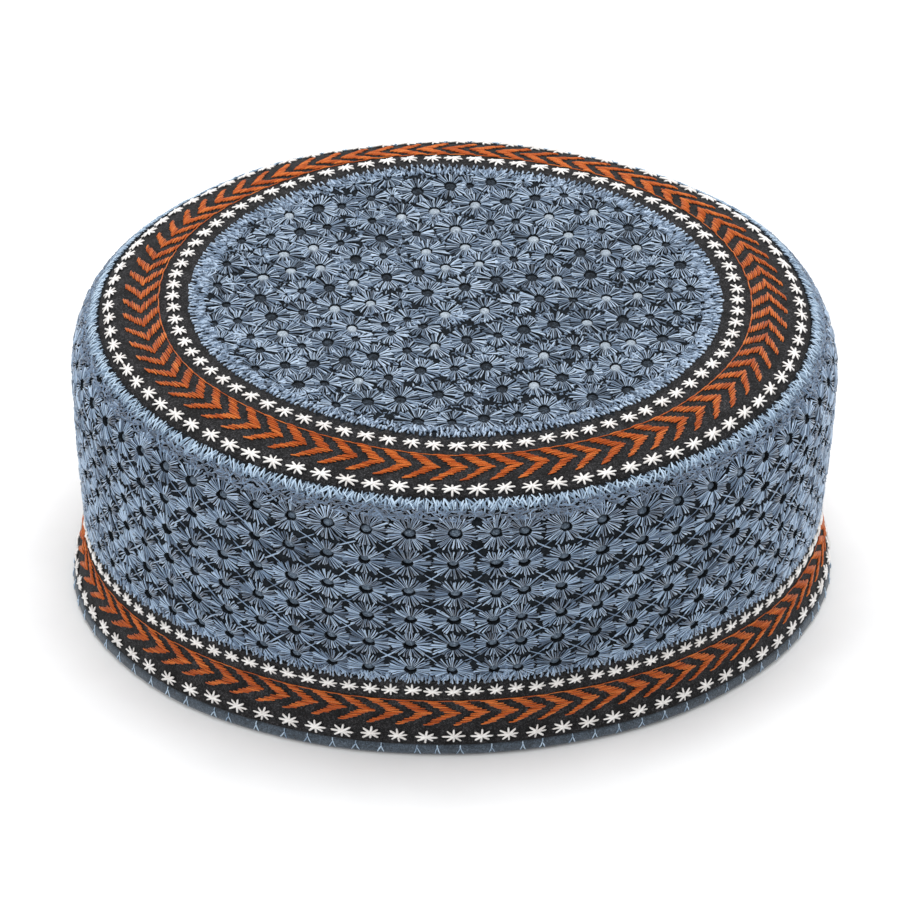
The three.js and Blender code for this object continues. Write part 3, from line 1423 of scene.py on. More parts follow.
@dataclass(frozen=True)
class CrownRosettes:
    """Eyelet work in the middle of the crown, charted row by row as it is sewn."""

    # Each eyelet as x,y in millimetres and the first letter of its kind, in slanted rows from the far
    # side to the near, counted from a point that lies this far in front of the crown's middle
    chart_forward: float = 1.2
    chart: tuple[str, ...] = (
        "-26.5,59.5,S -18,63,M -1.5,59,L 9,62,L",
        "-49,41.5,S -44.5,47,S -43,43.5,P -40,48.5,S -35.5,47,L -29.5,48.5,M -22,52.5,M -16.5,53.5,S"
        " -10,56,L 3.5,59.5,M 17.5,63,S 25,59.5,S",
        "-47.5,36,S -25.5,42,S -20,46.5,S -14,43.5,P -5.5,46.5,P -1.5,46.5,S 5,50,P 13,51.5,L"
        " 20.5,53.5,L 28,55,M 32.5,55.5,S",
        "-55,29.5,M -47.5,32,M -40,34.5,L -33,37.5,M -21.5,41,M -14.5,40,S -6,42.5,S",
        "-36.5,26.5,P -29.5,29,M -19,32,L -10,35,M 0,37.5,P 9,40.5,M 15.5,41,M 24,43.5,P 31.5,45.5,M"
        " 35.5,46,P 42,47.5,M",
        "-62,16,S -58.5,17.5,M -53.5,20,S -49.5,21.5,S -44,23,P -7.5,26,P 2.5,28.5,P 10.5,30.5,P",
        "-63.5,10,S -49,11,P -42,14.5,P -34.5,16,P -29,18.5,S -25.5,20.5,L -18.5,22.5,M -14.5,23.5,S"
        " 20,32,P 29,34,P 34.5,34,S 37.5,36,M 44.5,38,L 51,38.5,M",
        "-60.5,6.5,M -56.5,7.5,S -17.5,11.5,L -9.5,14.5,L -2.5,17.5,P 6,19.5,P 12,19.5,S 15,21.5,M"
        " 24,23,M 32,25,L 38.5,25.5,P 46.5,28,P 54,29.5,M",
        "-58,-3.5,M -49.5,0,L -43,2,S -39,4,M -32,5.5,L -26,8.5,P",
        "-30.5,-4.5,P -21.5,-1.5,P -14,0,S -7,3.5,L 2.5,6.5,L 10.5,10.5,L 19.5,12,L 26,12,P 34.5,14,L"
        " 42,16.5,M 46,20,S 50,17.5,M 50,20.5,S 57.5,19,L",
        "-61,-13,M -55,-11.5,M -46.5,-9.5,L -38.5,-7,M 61.5,17.5,S",
        "-59,-21.5,M -55,-19.5,S -51.5,-19.5,M -43.5,-17.5,P -35,-15.5,M -26,-14.5,P -17.5,-12.5,M"
        " -12,-10,M -2.5,-7.5,P 0,-9,S 7.5,-5.5,P 15.5,-2.5,M 21.5,1,L 30,1,M 38.5,2.5,P 46.5,4,P"
        " 54.5,6.5,M 60,7.5,M",
        "-58,-25.5,S -49,-26.5,M -42.5,-25,S -38.5,-24,M -32,-22,L -25,-20,M -16,-17,M -8,-13.5,M"
        " 63,0.5,S",
        "3,-20.5,L 11,-18,M 17.5,-15,L 25,-12,L 33.5,-10.5,P 42.5,-9,L 49.5,-7,M 56.5,-5,M 63,-3,S",
        "-50,-36,M -42.5,-34,L -35.5,-33,L -27.5,-31,L -20.5,-29,L -12,-26,M -5,-23.5,P",
        "-44,-43.5,S -8.5,-36,L 7.5,-27,S 14,-26.5,S 16.5,-29.5,M 22.5,-27,P 30.5,-23.5,M 38,-22,P"
        " 44.5,-20.5,P 52.5,-18.5,L 61,-16,M",
        "-39,-44,L -36.5,-48.5,S -32.5,-43,M -24,-41,P -16.5,-39.5,M 0,-34.5,M 8,-33,L 44,-28.5,S",
        "27,-38,L 34,-35.5,M 40.5,-33,P 48.5,-31,L 57,-27,M",
        "-29.5,-54,M -21.5,-52,L -13.5,-50.5,L -4,-47.5,L 3.5,-47,M 6.5,-45.5,S 12,-44,L 20,-41.5,P"
        " 49.5,-40,S 53.5,-34,S",
        "-4,-56.5,S 34.5,-47.5,L 43.5,-44,L",
        "-9,-61,L -0.5,-60.5,M 7.5,-58.5,L 16,-56.5,M 22.5,-54,L 30,-56,P",
    )
    hole_x_span: Span = (0.9, 1.08)
    hole_y_span: Span = (0.85, 1.05)
    seed: int = 11

    def eyelets(self) -> list[tuple[float, float, EyeletKind]]:
        """The chart's eyelets, each as x, y and kind."""
        kinds = {kind.name[0]: kind for kind in EyeletKind}
        items = [item.split(",") for line in self.chart for item in line.split()]
        return [(float(x), float(y) - self.chart_forward, kinds[letter]) for x, y, letter in items]

    def rosettes(self) -> Rosettes:
        """The charted eyelets as one drawing."""
        x, y, kinds = zip(*self.eyelets())
        chance = np.random.default_rng(self.seed)
        reach_x, reach_y, hole_x, hole_y = np.array([kind.value for kind in kinds]).T
        return Rosettes(
            x=np.array(x),
            y=np.array(y),
            reach_x=reach_x,
            reach_y=reach_y,
            hole_x=hole_x * chance.uniform(*self.hole_x_span, len(kinds)),
            hole_y=hole_y * chance.uniform(*self.hole_y_span, len(kinds)),
            trim=0.3,
            gather=1.35,
        )

    def pale(self) -> np.ndarray:
        """Mask of the eyelets whose filling shows pale."""
        return np.array([kind is EyeletKind.PALE for _, _, kind in self.eyelets()])


@dataclass(frozen=True)
class Crown:
    """Flat top of the cap: felt, eyelet work, comb edge, stars and chevrons."""

    cloth_edge: float = 90.6
    work_radius: float = 67.8
    edge_points: int = 240
    # Points that divide the felt between the eyelets: first ring, gap between rings, pitch on a ring
    grid_first: float = 3.0
    grid_gap: float = 3.2
    grid_pitch: float = 3.4
    lining_steps: int = 120
    lining_gap: float = 2.5
    lining_clearance: float = 0.2
    rosette_thread_radius: float = 0.18
    # How far short of the work's edge a spoke ends, and the shortest one there
    spoke_margin: float = 1.0
    shortest_spoke: float = 0.8
    stray_count: int = 9000
    stray_margin: float = 2.0
    stray_share: float = 0.72
    stray_length: Span = (0.7, 2.0)
    stray_thread_radius: float = 0.2
    inner_star_radius: float = 72.5
    outer_star_radius: float = 88.2
    chevron_line_radius: float = 76.0

    def build(self) -> None:
        """Makes every piece of the crown."""
        work = CrownRosettes()
        rosettes = work.rosettes()
        self.cloth(rosettes)
        self.lining()
        self.fillings(rosettes, work.pale())
        self.stray_stitches(rosettes)
        sewing = Needlework(
            CROWN_THREAD,
            Slot.PALE_BLUE_THREAD,
            self.rosette_thread_radius,
            StitchShape.SPOKE,
            seed=2,
        )
        sewing.sew("crown_rosettes", self.inside(rosettes.spokes(21)), FORM.crown_wrap)
        self.fringe()
        self.stars()
        self.chevrons()

    def work_edge(self, turn: np.ndarray | float) -> np.ndarray | float:
        """Radius of the eyelet work at a turn round the cap."""
        return self.work_radius + CROWN_SWAY.outward(turn)

    def cloth(self, rosettes: Rosettes) -> None:
        """Black felt of the crown with every eyelet cut through it; under the work it is ground cloth."""
        edge = FORM.down_at_radius(self.cloth_edge)
        turns = np.arange(self.edge_points) * FULL_TURN / self.edge_points
        outline = edge * np.stack([np.cos(turns), np.sin(turns)], axis=1)
        grid = []
        for radius in np.arange(self.grid_first, edge - 1.0, self.grid_gap):
            count = int(FULL_TURN * radius / self.grid_pitch)
            around = np.arange(count) * FULL_TURN / count + radius
            grid.append(radius * np.stack([np.cos(around), np.sin(around)], axis=1))
        made = pierced_cloth(
            "crown_felt",
            outline,
            rosettes.hole_outlines(),
            np.concatenate(grid),
            FORM.crown_wrap,
            CAP_FELT,
        )
        made.data.materials.append(GROUND_CLOTH)
        for face in made.data.polygons:
            x, y, _ = face.center
            worked = math.hypot(x, y) < self.work_edge(math.atan2(y, x)) * METRES_PER_MM
            face.material_index = int(worked)
        dress(made, Slot.BLACK_FELT, "crown_panel")

    def lining(self) -> None:
        """Felt lining under the crown: a round panel that shows through the eyelets."""
        edge = FORM.down_at_height(LINING_SEAM_HEIGHT) - self.lining_clearance
        downs = [*np.arange(self.lining_gap, edge - 1.0, self.lining_gap), edge]
        steps = self.lining_steps
        turns = np.arange(steps) * FULL_TURN / steps
        rings = [(down, LINING_FACE) for down in downs]
        rings += [(down, LINING_BACK) for down in reversed(downs)]
        sides = [
            FORM.surface(turns, np.full(steps, down), np.full(steps, lift)) for down, lift in rings
        ]
        poles = [
            FORM.surface(np.zeros(1), np.zeros(1), np.array([lift])) for lift in (LINING_FACE, LINING_BACK)
        ]
        points = np.concatenate([poles[0], *sides, poles[1]])
        faces: list[tuple[int, ...]] = []
        last = len(points) - 1
        for step in range(steps):
            after = (step + 1) % steps
            faces.append((0, 1 + step, 1 + after))
            for ring in range(len(rings) - 1):
                near, far = 1 + ring * steps, 1 + (ring + 1) * steps
                faces.append((near + step, far + step, far + after, near + after))
            end = last - steps
            faces.append((end + step, last, end + after))
        made = solid_object("crown_lining_felt", points, faces, LINING_FELT)
        dress(made, Slot.LINING_FELT, "crown_lining")

    def fillings(self, rosettes: Rosettes, pale: np.ndarray) -> None:
        """Soft fillings of the eyelets, some pale and some painted dark as the shade inside the eyelets.

        Args:
            rosettes: the eyelets.
            pale: mask of the eyelets that show pale.
        """
        places = np.stack([rosettes.x, rosettes.y], axis=1)
        radii = np.stack([rosettes.hole_x, rosettes.hole_y], axis=1)
        # The dark fillings are painted shade: a darker copy of the lining felt, in the eyelets' depth
        for name, mask, material, share, top in (
            ("crown_pale_fillings", pale, PALE_FILLING, 0.84, 0.15),
            ("crown_dark_fillings", ~pale, SHADE_PAINTED_FILLING, 0.95, -0.05),
        ):
            tops = np.full(mask.sum(), top)
            filled = fillings(
                name, places[mask], radii[mask] * share, tops, FORM.crown_wrap, material
            )
            dress(filled, Slot.LINING_FELT)

    def stray_stitches(self, rosettes: Rosettes) -> None:
        """Short stitches low between the eyelets, with none over a hole."""
        chance = np.random.default_rng(22)
        place = chance.uniform(-self.work_radius, self.work_radius, (self.stray_count, 2))
        place = place[np.hypot(*place.T) < self.work_radius - self.stray_margin]
        share = self.stray_share
        for x, y, across, along in zip(rosettes.x, rosettes.y, rosettes.reach_x, rosettes.reach_y):
            away = np.hypot((place[:, 0] - x) / (share * across), (place[:, 1] - y) / (share * along))
            place = place[away > 1.0]
        count = len(place)
        turn = chance.uniform(0.0, FULL_TURN, count)
        reach = chance.uniform(*self.stray_length, count)[:, None]
        end = place + reach * np.stack([np.cos(turn), np.sin(turn)], axis=1)
        drawing = Stitches.between(
            place,
            end,
            shade=chance.uniform(0.0, 0.8, count),
            lift=chance.uniform(-0.1, 0.1, count),
        )
        work = Needlework(
            CROWN_THREAD,
            Slot.PALE_BLUE_THREAD,
            self.stray_thread_radius,
            StitchShape.SPOKE,
            seed=3,
        )
        work.sew("crown_stray_stitches", drawing, FORM.crown_wrap)

    def inside(self, stitches: Stitches) -> Stitches:
        """Shortens the stitches that reach past the round of the eyelet work."""
        end_x = stitches.x + stitches.length * np.cos(stitches.turn)
        end_y = stitches.y + stitches.length * np.sin(stitches.turn)
        edge = self.work_edge(np.arctan2(end_y, end_x) - CHART_TURN) - self.spoke_margin
        over = np.maximum(np.hypot(end_x, end_y) - edge, 0.0)
        stitches.length = np.maximum(stitches.length - over, self.shortest_spoke)
        return stitches

    def fringe(self) -> None:
        """Small upright stitches round the eyelet work, over a band of close ones."""
        Fringe(
            name="crown",
            line=self.work_radius,
            thread=CROWN_THREAD,
            slot=Slot.PALE_BLUE_THREAD,
            seed=31,
            stitch_seeds=(4, 4),
            teeth=296,
            tooth_top=0.8,
            tooth_foot=-0.75,
            foot_span=(-0.2, 0.25),
            tooth_shades=(0.3, 1.0),
            close=1900,
            close_top=(1.2, 4.6),
            close_fall=(1.3, 2.4),
            close_lean=0.9,
            close_shades=(0.0, 0.8),
            close_lift=0.2,
            close_radius=0.26,
            sway=CROWN_SWAY,
        ).sew()

    def stars(self) -> None:
        """Two rings of white stars on either side of the chevrons."""
        white = Needlework(WHITE_THREAD, Slot.WHITE_THREAD, STAR_THREAD_RADIUS, seed=5, wobble=0.03)
        inner = StarRing(
            name="crown_stars_inner",
            down=FORM.down_at_radius(self.inner_star_radius),
            count=80,
            arm_along=2.6,
            arm_across=2.2,
            start=0.35,
            seed=41,
            sway=CROWN_SWAY,
        )
        outer = StarRing(
            name="crown_stars_outer",
            down=FORM.down_at_radius(self.outer_star_radius),
            count=84,
            arm_along=3.1,
            arm_across=1.95,
            start=0.96,
            seed=42,
            sway=SHOULDER_SWAY,
        )
        for ring in (inner, outer):
            ring.sew(white)

    def chevrons(self) -> None:
        """Ring of orange chevrons outside the inner stars."""
        ring = ChevronRing(
            name="crown_chevron_stitches",
            line_down=FORM.down_at_radius(self.chevron_line_radius),
            count=74,
            reach=9.2,
            replaces="crown_chevrons",
            seed=51,
            sway=CROWN_SWAY,
        )
        ring.sew()


@dataclass(frozen=True)
class ShoulderLayer:
    """One layer of the stitches across the shoulder, and the spans by which it is sewn by hand.

    The top is counted from the shoulder's upper edge and the foot from its lower one.
    """

    name: str
    count: int
    thread_radius: float
    seed: int
    stray: float
    lean: Span
    alternate: bool
    top: Span
    foot: Span
    shade: Span
    lift: Span


@dataclass(frozen=True)
class Shoulder:
    """Edge between crown and wall: a padded cord under crossing pale stitches."""

    inner_radius: float = 90.4
    outer_height: float = 73.0
    cord_lift: float = 0.15
    cord_depth: float = -1.6
    cord_spacing: float = 0.8
    seed: int = 61
    layers: tuple[ShoulderLayer, ...] = (
        ShoulderLayer(
            name="shoulder_zigzag",
            count=780,
            thread_radius=0.195,
            seed=6,
            stray=0.3,
            lean=(-0.14, 1.4),
            alternate=True,
            top=(-1.0, 0.1),
            foot=(0.7, 1.9),
            shade=(0.35, 1.1),
            lift=(0.3, 0.5),
        ),
        ShoulderLayer(
            name="shoulder_under_stitches",
            count=900,
            thread_radius=0.24,
            seed=16,
            stray=0.5,
            lean=(-1.3, 1.3),
            alternate=False,
            top=(-1.2, 0.0),
            foot=(-0.2, 1.2),
            shade=(-0.1, 0.7),
            lift=(0.12, 0.25),
        ),
    )

    def build(self) -> None:
        """Makes the cord and the stitches over it."""
        start = FORM.down_at_radius(self.inner_radius)
        end = FORM.down_at_height(self.outer_height)
        section = rounded(
            [
                (start, self.cord_lift, 0.5),
                (end, self.cord_lift, 0.8),
                (end, self.cord_depth, 0.3),
                (start, self.cord_depth, 0.3),
            ],
            self.cord_spacing,
        )
        made = swept("shoulder_cord", section, GROUND_CLOTH)
        dress(made, Slot.PALE_BLUE_THREAD, "crown_edging")
        chance = np.random.default_rng(self.seed)
        for layer in self.layers:
            self.sew(layer, chance, 0.5 * (start + end), 0.5 * (end - start))

    def sew(
        self, layer: ShoulderLayer, chance: np.random.Generator, middle: float, half: float
    ) -> None:
        """Sews one layer of stitches over the shoulder.

        Args:
            layer: the layer.
            chance: the uneven hand.
            middle: distance down to the middle of the shoulder.
            half: half its width.
        """
        count = layer.count
        x = spread_round(chance, count, layer.stray, FORM.radius_at(middle))
        lean = chance.uniform(*layer.lean, count)
        if layer.alternate:
            lean[1::2] *= -1.0
        top = half + chance.uniform(*layer.top, count)
        foot = -half + chance.uniform(*layer.foot, count)
        drawing = Stitches.between(
            np.stack([x - lean, top], axis=1),
            np.stack([x + lean, foot], axis=1),
            shade=chance.uniform(*layer.shade, count),
            lift=chance.uniform(*layer.lift, count),
        )
        work = Needlework(
            EDGING_THREAD, Slot.PALE_BLUE_THREAD, layer.thread_radius, seed=layer.seed
        )
        work.sew(layer.name, drawing, FORM.ring_wrap(middle))


@dataclass(frozen=True)
class EyeletRow:
    """Row of wall eyelets: distance down from the shoulder's line, reach up and down, and hole."""

    down: float
    reach: float
    hole: float


@dataclass
class Wall:
    """Upright wall: pierced cloth, six rows of eyelets, comb edge and felt lining."""

    rows: tuple[EyeletRow, ...] = (
        EyeletRow(down=9.9, reach=4.7, hole=1.3),
        EyeletRow(down=18.6, reach=4.5, hole=1.35),
        EyeletRow(down=27.9, reach=4.6, hole=1.35),
        EyeletRow(down=36.4, reach=4.4, hole=1.3),
        EyeletRow(down=44.4, reach=4.2, hole=1.3),
        EyeletRow(down=52.4, reach=4.2, hole=1.2),
    )
    # Rows at which a new piece of the embroidery starts
    piece_rows: tuple[int, int] = (2, 4)
    # Width of each column of eyelets in degrees, from the far left of the front to its far right
    column_widths: tuple[float, ...] = (
        5.3, 5.3, 5.3, 5.7, 5.7, 5.8, 5.9, 5.7, 5.9, 6.0, 6.4, 6.8, 6.2, 4.2, 6.1,
        6.2, 6.2, 6.2, 6.5, 6.2, 6.1, 6.2, 6.2,
    )
    first_column: float = -159.5
    columns: int = 61
    shoulder_radius: float = 90.05
    # Distance down from the shoulder's line at which the flat drawing has its true length
    true_down: float = 30.0
    # An eyelet's stray along and up the wall, and how far its stitches overlap the next column's
    stray_x: float = 0.35
    stray_y: float = 0.3
    overlap: float = 0.8
    hole_span: Span = (0.88, 1.12)
    hole_shape: Span = (1.35, 1.04)
    filling_share: float = 0.76
    filling_tops: Span = (-0.6, -0.15)
    rosette_thread_radius: float = 0.165
    cloth_top: float = 73.2
    cloth_foot: float = 21.6
    cloth_columns: int = 181
    cloth_rows: int = 16
    lining_hem: float = 2.9
    rim_face: float = 0.25
    crossing_reach: Span = (2.2, 1.4)
    crossing_stray: float = 0.5
    crossing_thread_radius: float = 0.22
    fill_count: int = 4200
    fill_thread_radius: float = 0.23
    fill_band: Span = (3.0, 6.6)
    fill_limits: Span = (-7.2, -2.8)
    fill_length: Span = (1.4, 3.4)
    fill_tilt: float = 0.55
    comb_height: float = 21.8
    line: float = field(init=False)
    radius: float = field(init=False)
    length: float = field(init=False)

    def __post_init__(self) -> None:
        """Finds the wall's reference line, and the radius and length of its flat drawing."""
        self.line = FORM.down_at_radius(self.shoulder_radius)
        self.radius = FORM.radius_at(self.line + self.true_down)
        self.length = FULL_TURN * self.radius

    def wrap(self, flat: np.ndarray) -> np.ndarray:
        """Lays the wall's drawing on the cap: x along the wall, y up from the shoulder's line."""
        x, y, lift = flat.T
        return FORM.surface(x / self.radius, self.line - y, lift)

    def column_turns(self) -> np.ndarray:
        """Turn of each column of eyelets; those out of sight are spaced evenly."""
        seen = np.cumsum([self.first_column, *self.column_widths])
        left = self.columns - len(seen)
        back = np.linspace(seen[-1], self.first_column + 360.0, left + 2)[1:-1]
        return np.sort(np.radians(np.concatenate([seen, back])) - CHART_TURN)

    def rosettes(self) -> Rosettes:
        """The eyelets of all rows as one drawing."""
        chance = np.random.default_rng(71)
        turns = self.column_turns()
        widths = 0.5 * (np.roll(turns, -1) - np.roll(turns, 1)) % math.pi
        x, y, reach_x, reach_y, hole = [], [], [], [], []
        for row in self.rows:
            for turn, width in zip(turns, widths):
                x.append(turn * self.radius + chance.uniform(-self.stray_x, self.stray_x))
                y.append(-row.down + chance.uniform(-self.stray_y, self.stray_y))
                reach_x.append(0.5 * width * self.radius + self.overlap)
                reach_y.append(row.reach)
                hole.append(row.hole * chance.uniform(*self.hole_span))
        return Rosettes(
            x=np.array(x),
            y=np.array(y),
            reach_x=np.array(reach_x),
            reach_y=np.array(reach_y),
            hole_x=np.array(hole) * self.hole_shape[0],
            hole_y=np.array(hole) * self.hole_shape[1],
            spacing=0.74,
            trim=0.5,
        )

    def build(self) -> None:
        """Makes every piece of the wall."""
        rosettes = self.rosettes()
        self.cloth(rosettes)
        self.lining()
        self.fillings(rosettes)
        self.embroidery(rosettes)
        self.crossing()
        self.shoulder_fill()
        self.fringe()

    def fillings(self, rosettes: Rosettes) -> None:
        """Soft felt that swells into each eyelet of the wall."""
        places = np.stack([rosettes.x, rosettes.y], axis=1)
        radii = np.stack([rosettes.hole_x, rosettes.hole_y], axis=1) * self.filling_share
        tops = np.random.default_rng(72).uniform(*self.filling_tops, len(places))
        filled = fillings("wall_eyelet_fillings", places, radii, tops, self.wrap, WALL_FILLING)
        dress(filled, Slot.LINING_FELT)

    def embroidery(self, rosettes: Rosettes) -> None:
        """Stitches round the eyelets, in three pieces of two rows each."""
        work = Needlework(
            WALL_THREAD, Slot.BLUE_THREAD, self.rosette_thread_radius, StitchShape.SPOKE, seed=7
        )
        stitches = rosettes.spokes(81, period=self.length)
        edges = [0.5 * (self.rows[row - 1].down + self.rows[row].down) for row in self.piece_rows]
        edges = [0.0, *edges, FORM.down_at_height(0.0) - self.line]
        for name, upper, lower in zip(("upper", "middle", "lower"), edges, edges[1:]):
            part = stitches.chosen((-stitches.y > upper) & (-stitches.y <= lower))
            work.sew(f"wall_rosettes_{name}", part, self.wrap)

    def cloth(self, rosettes: Rosettes) -> None:
        """Black ground cloth of the wall, with every eyelet cut through it."""
        columns, rows = self.cloth_columns, self.cloth_rows
        start = min(rosettes.x) - 0.5 * self.length / self.columns
        end = start + self.length
        top = self.line - FORM.down_at_height(self.cloth_top)
        low = self.line - FORM.down_at_height(self.cloth_foot)
        across = np.linspace(start, end, columns)
        rise = np.linspace(low, top, rows)
        outline = np.concatenate([
            np.stack([across, np.full(columns, low)], axis=1),
            np.stack([np.full(rows - 2, end), rise[1:-1]], axis=1),
            np.stack([across[::-1], np.full(columns, top)], axis=1),
            np.stack([np.full(rows - 2, start), rise[-2:0:-1]], axis=1),
        ])
        inner_x, inner_y = np.meshgrid(across[1:-1], rise[1:-1])
        grid = np.stack([inner_x.ravel(), inner_y.ravel()], axis=1)
        made = pierced_cloth(
            "wall_ground_cloth",
            outline,
            rosettes.hole_outlines(),
            grid,
            self.wrap,
            GROUND_CLOTH,
            merge=True,
        )
        dress(made, Slot.BLUE_THREAD, "side_wall")

    def lining(self) -> None:
        """Felt lining of the wall, folded out under the hem as the cap's rim."""
        top = FORM.down_at_height(LINING_SEAM_HEIGHT)
        hem = FORM.down_at_height(self.lining_hem)
        rim = FORM.down_at_height(0.0)
        section = rounded(
            [
                (top, LINING_FACE, 0.0),
                (hem, LINING_FACE, 0.0),
                (hem, self.rim_face, 1.1),
                (rim, self.rim_face, 1.3),
                (rim, LINING_BACK, 1.0),
                (top, LINING_BACK, 0.0),
            ]
        )
        made = swept("wall_lining_felt", section[::-1], LINING_FELT)
        dress(made, Slot.LINING_FELT, "wall_lining")

    def crossing(self) -> None:
        """Threads that cross over the gaps where four eyelets meet."""
        chance = np.random.default_rng(91)
        turns = self.column_turns()
        between = 0.5 * (turns + np.append(turns[1:], turns[0] + FULL_TURN))
        reach_x, reach_y = self.crossing_reach
        starts, ends = [], []
        for upper, lower in zip(self.rows, self.rows[1:]):
            for turn in between:
                x, y = turn * self.radius, -0.5 * (upper.down + lower.down)
                for side in (-1.0, 1.0):
                    shift = chance.uniform(-self.crossing_stray, self.crossing_stray, 4)
                    starts.append((x - side * reach_x + shift[0], y - reach_y + shift[1]))
                    ends.append((x + side * reach_x + shift[2], y + reach_y + shift[3]))
        drawing = Stitches.between(
            np.array(starts),
            np.array(ends),
            width=0.75,
            shade=chance.uniform(0.1, 0.7, len(starts)),
            lift=0.1,
        )
        work = Needlework(WALL_THREAD, Slot.BLUE_THREAD, self.crossing_thread_radius, seed=8)
        work.sew("wall_crossing_threads", drawing, self.wrap)

    def shoulder_fill(self) -> None:
        """Close dark stitches between the shoulder and the first row of eyelets."""
        chance = np.random.default_rng(101)
        count = self.fill_count
        x = chance.uniform(0, self.length, count)
        y = -chance.uniform(*self.fill_band, count)
        turn = chance.normal(0.0, self.fill_tilt, count)
        turn += np.where(chance.random(count) < 0.5, 0.0, math.pi)
        length = chance.uniform(*self.fill_length, count)
        end_y = np.clip(y + np.sin(turn) * length, *self.fill_limits)
        drawing = Stitches.between(
            np.stack([x, y], axis=1),
            np.stack([x + np.cos(turn) * length, end_y], axis=1),
            width=0.9,
            shade=chance.uniform(-0.1, 0.5, count),
            lift=chance.uniform(0.0, 0.2, count),
        )
        work = Needlework(
            WALL_THREAD, Slot.BLUE_THREAD, self.fill_thread_radius, StitchShape.SPOKE, seed=9
        )
        work.sew("shoulder_fill_stitches", drawing, self.wrap)

    def fringe(self) -> None:
        """Small upright stitches along the foot of the eyelet work, over a band of close ones."""
        Fringe(
            name="wall",
            line=FORM.down_at_height(self.comb_height),
            thread=WALL_THREAD,
            slot=Slot.BLUE_THREAD,
            seed=111,
            stitch_seeds=(10, 17),
            teeth=346,
            tooth_top=0.9,
            tooth_foot=-0.6,
            foot_span=(-0.2, 0.3),
            tooth_shades=(0.2, 0.9),
            close=1000,
            close_top=(1.2, 2.6),
            close_foot=(-0.3, 0.8),
            close_lean=0.7,
            close_shades=(0.0, 0.7),
            close_lift=0.15,
            close_radius=0.22,
        ).sew()


@dataclass(frozen=True)
class Hem:
    """Black felt band at the foot of the wall, with stars, chevrons and the rim's stitches."""

    top: float = 21.3
    foot: float = 3.0
    depth: float = -1.6
    upper_star_height: float = 18.64
    lower_star_height: float = 5.52
    chevron_line_height: float = 15.5
    # Fly stitches: their line, number, top, knot, gap at the knot, foot and spans of their legs
    fly_height: float = 1.6
    fly_count: int = 86
    fly_top: float = 1.6
    fly_knot: Span = (0.3, 0.7)
    fly_gap: float = 0.1
    fly_foot: float = -1.1
    fly_leg: Span = (0.6, 1.1)
    fly_stray: float = 0.22
    fly_lean: float = 0.1
    fly_thread_radius: float = 0.16

    def build(self) -> None:
        """Makes every piece of the hem."""
        top = FORM.down_at_height(self.top)
        foot = FORM.down_at_height(self.foot)
        section = rounded(
            [(top, 0.0, 0.3), (top, self.depth, 0.3), (foot, self.depth, 0.3), (foot, 0.0, 0.4)]
        )
        made = swept("hem_felt", section, CAP_FELT)
        dress(made, Slot.BLACK_FELT, "hem_band")
        self.stars()
        self.chevrons()
        self.fly_stitches()

    def stars(self) -> None:
        """Two rings of white stars over and under the chevrons."""
        white = Needlework(WHITE_THREAD, Slot.WHITE_THREAD, STAR_THREAD_RADIUS, seed=12, wobble=0.03)
        upper = StarRing(
            name="hem_stars_upper",
            down=FORM.down_at_height(self.upper_star_height),
            count=108,
            arm_along=2.5,
            arm_across=1.75,
            start=0.0,
            seed=121,
        )
        lower = StarRing(
            name="hem_stars_lower",
            down=FORM.down_at_height(self.lower_star_height),
            count=82,
            arm_along=3.05,
            arm_across=1.95,
            start=0.72,
            seed=122,
        )
        for ring in (upper, lower):
            ring.sew(white)

    def chevrons(self) -> None:
        """Ring of orange chevrons between the stars."""
        ring = ChevronRing(
            name="hem_chevron_stitches",
            line_down=FORM.down_at_height(self.chevron_line_height),
            count=79,
            reach=6.85,
            replaces="band_chevrons",
            seed=131,
            rows=7,
            thread_radius=0.24,
            start=-0.46,
        )
        ring.sew()

    def fly_stitches(self) -> None:
        """Pale stitches over the rim, each an upright with two short legs."""
        chance = np.random.default_rng(141)
        line = FORM.down_at_height(self.fly_height)
        radius = FORM.radius_at(line)
        starts, ends = [], []
        for place in range(self.fly_count):
            stray = chance.uniform(-self.fly_stray, self.fly_stray)
            x = (place + stray) * FULL_TURN * radius / self.fly_count
            knot = chance.uniform(*self.fly_knot)
            starts.append((x, self.fly_top))
            ends.append((x + chance.uniform(-self.fly_lean, self.fly_lean), knot - self.fly_gap))
            for side in (-1.0, 1.0):
                starts.append((x, knot + self.fly_gap))
                ends.append((x + side * chance.uniform(*self.fly_leg), self.fly_foot))
        drawing = Stitches.between(
            np.array(starts), np.array(ends), shade=chance.uniform(0.4, 1.0, len(starts)), lift=0.25
        )
        work = Needlework(
            EDGING_THREAD, Slot.PALE_BLUE_THREAD, self.fly_thread_radius, seed=14, wobble=0.05
        )
        work.sew("rim_fly_stitches", drawing, FORM.ring_wrap(line))


@dataclass(frozen=True)
class Softbox:
    """Square soft light that faces the cap: place and side in metres, power in watts."""

    name: str
    place: tuple[float, float, float]
    size: float
    power: float


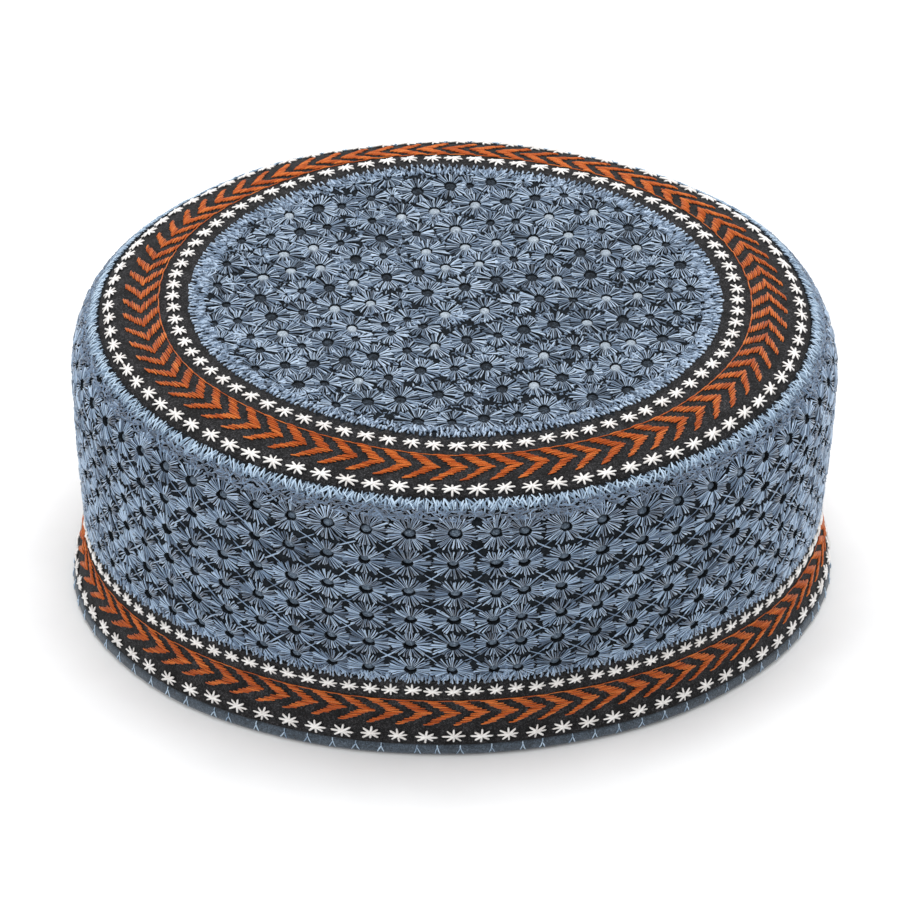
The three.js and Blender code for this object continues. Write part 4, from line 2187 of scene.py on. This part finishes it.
@dataclass(frozen=True)
class Studio:
    """Pale floor, soft light and the camera at the photograph's angle.

    Angles are degrees, and the focal length is in pixels of the photograph.
    """

    elevation: float = 30.77
    roll: float = 0.559
    distance: float = 2500.0
    focal_pixels: float = 9740.0
    frame_pixels: float = 900.0
    sensor_width: float = 36.0
    aim_right: float = -0.912
    aim_height: float = 34.875
    clip_start: float = 0.1
    clip_end: float = 50.0
    floor_half: float = 6000.0
    floor_height: float = -0.35
    sky_strength: float = 0.55
    light_target: tuple[float, float, float] = (0.0, 0.0, 0.04)
    softboxes: tuple[Softbox, ...] = (
        Softbox("overhead softbox", place=(0.1, 0.25, 1.5), size=1.1, power=18.0),
        Softbox("front fill", place=(-0.2, -1.7, 0.9), size=1.2, power=8.0),
        Softbox("left fill", place=(-1.6, -0.3, 0.8), size=1.0, power=9.0),
        Softbox("right fill", place=(1.6, 0.1, 0.8), size=1.0, power=7.0),
    )

    def build(self) -> None:
        """Makes the floor, the lights and the camera."""
        self.floor()
        self.lights()
        self.camera()

    def floor(self) -> None:
        """White matt floor, far wider than the view and just under the rim's lowest fibres."""
        half, height = self.floor_half, self.floor_height
        corners = ((-half, -half), (half, -half), (half, half), (-half, half))
        points = np.array([(x, y, height) for x, y in corners])
        material, tree, shader = new_material("White matt studio floor")
        place = node(tree, "ShaderNodeTexCoord").outputs["Object"]
        grain = node(tree, "ShaderNodeTexNoise", inputs={"Vector": place, "Scale": 40.0}).outputs["Fac"]
        tone = ramp(tree, grain, [(0.3, "#f4f4f4"), (0.7, "#f8f8f8")])
        tree.links.new(tone, shader.inputs["Base Color"])
        shader.inputs["Roughness"].default_value = 0.9
        floor = solid_object("studio_floor", points, [(0, 1, 2, 3)], material)

    def lights(self) -> None:
        """Broad light from above, softer ones from the front and both sides, and a pale sky."""
        for box in self.softboxes:
            data = bpy.data.lights.new(box.name, "AREA")
            data.shape = "SQUARE"
            data.size = box.size
            data.energy = box.power
            light = bpy.data.objects.new(box.name, data)
            light.location = box.place
            towards = Vector(self.light_target) - Vector(box.place)
            light.rotation_euler = towards.to_track_quat("-Z", "Y").to_euler()
            bpy.context.scene.collection.objects.link(light)
        world = bpy.data.worlds.new("studio air")
        world.use_nodes = True
        background = world.node_tree.nodes["Background"]
        background.inputs["Color"].default_value = linear("#ffffff")
        background.inputs["Strength"].default_value = self.sky_strength
        bpy.context.scene.world = world
        bpy.context.scene.view_settings.view_transform = "Standard"

    def camera(self) -> None:
        """Camera fitted to the photograph's view of the cap."""
        rise, turn, roll = math.radians(self.elevation), CHART_TURN, math.radians(self.roll)
        level = Vector((-math.sin(turn), -math.cos(turn), 0.0))
        back = level * math.cos(rise) + Vector((0.0, 0.0, math.sin(rise)))
        right = Vector((math.cos(turn), -math.sin(turn), 0.0))
        up = back.cross(right)
        across = math.cos(roll) * right + math.sin(roll) * up
        above = -math.sin(roll) * right + math.cos(roll) * up
        aim = right * self.aim_right + Vector((0.0, 0.0, self.aim_height))
        place = (aim + back * self.distance) * METRES_PER_MM
        data = bpy.data.cameras.new("photograph view")
        data.sensor_width = self.sensor_width
        data.lens = self.focal_pixels / self.frame_pixels * self.sensor_width
        data.clip_start = self.clip_start
        data.clip_end = self.clip_end
        camera = bpy.data.objects.new("photograph view", data)
        axes = Matrix((across, above, back)).transposed()
        camera.matrix_world = Matrix.Translation(place) @ axes.to_4x4()
        bpy.context.scene.collection.objects.link(camera)
        bpy.context.scene.camera = camera


def main() -> None:
    """Builds the cap from the crown down, then the studio."""
    logging.basicConfig(level=logging.INFO, format="%(message)s")
    Crown().build()
    Shoulder().build()
    Wall().build()
    Hem().build()
    Studio().build()


if __name__ == "__main__":
    main()
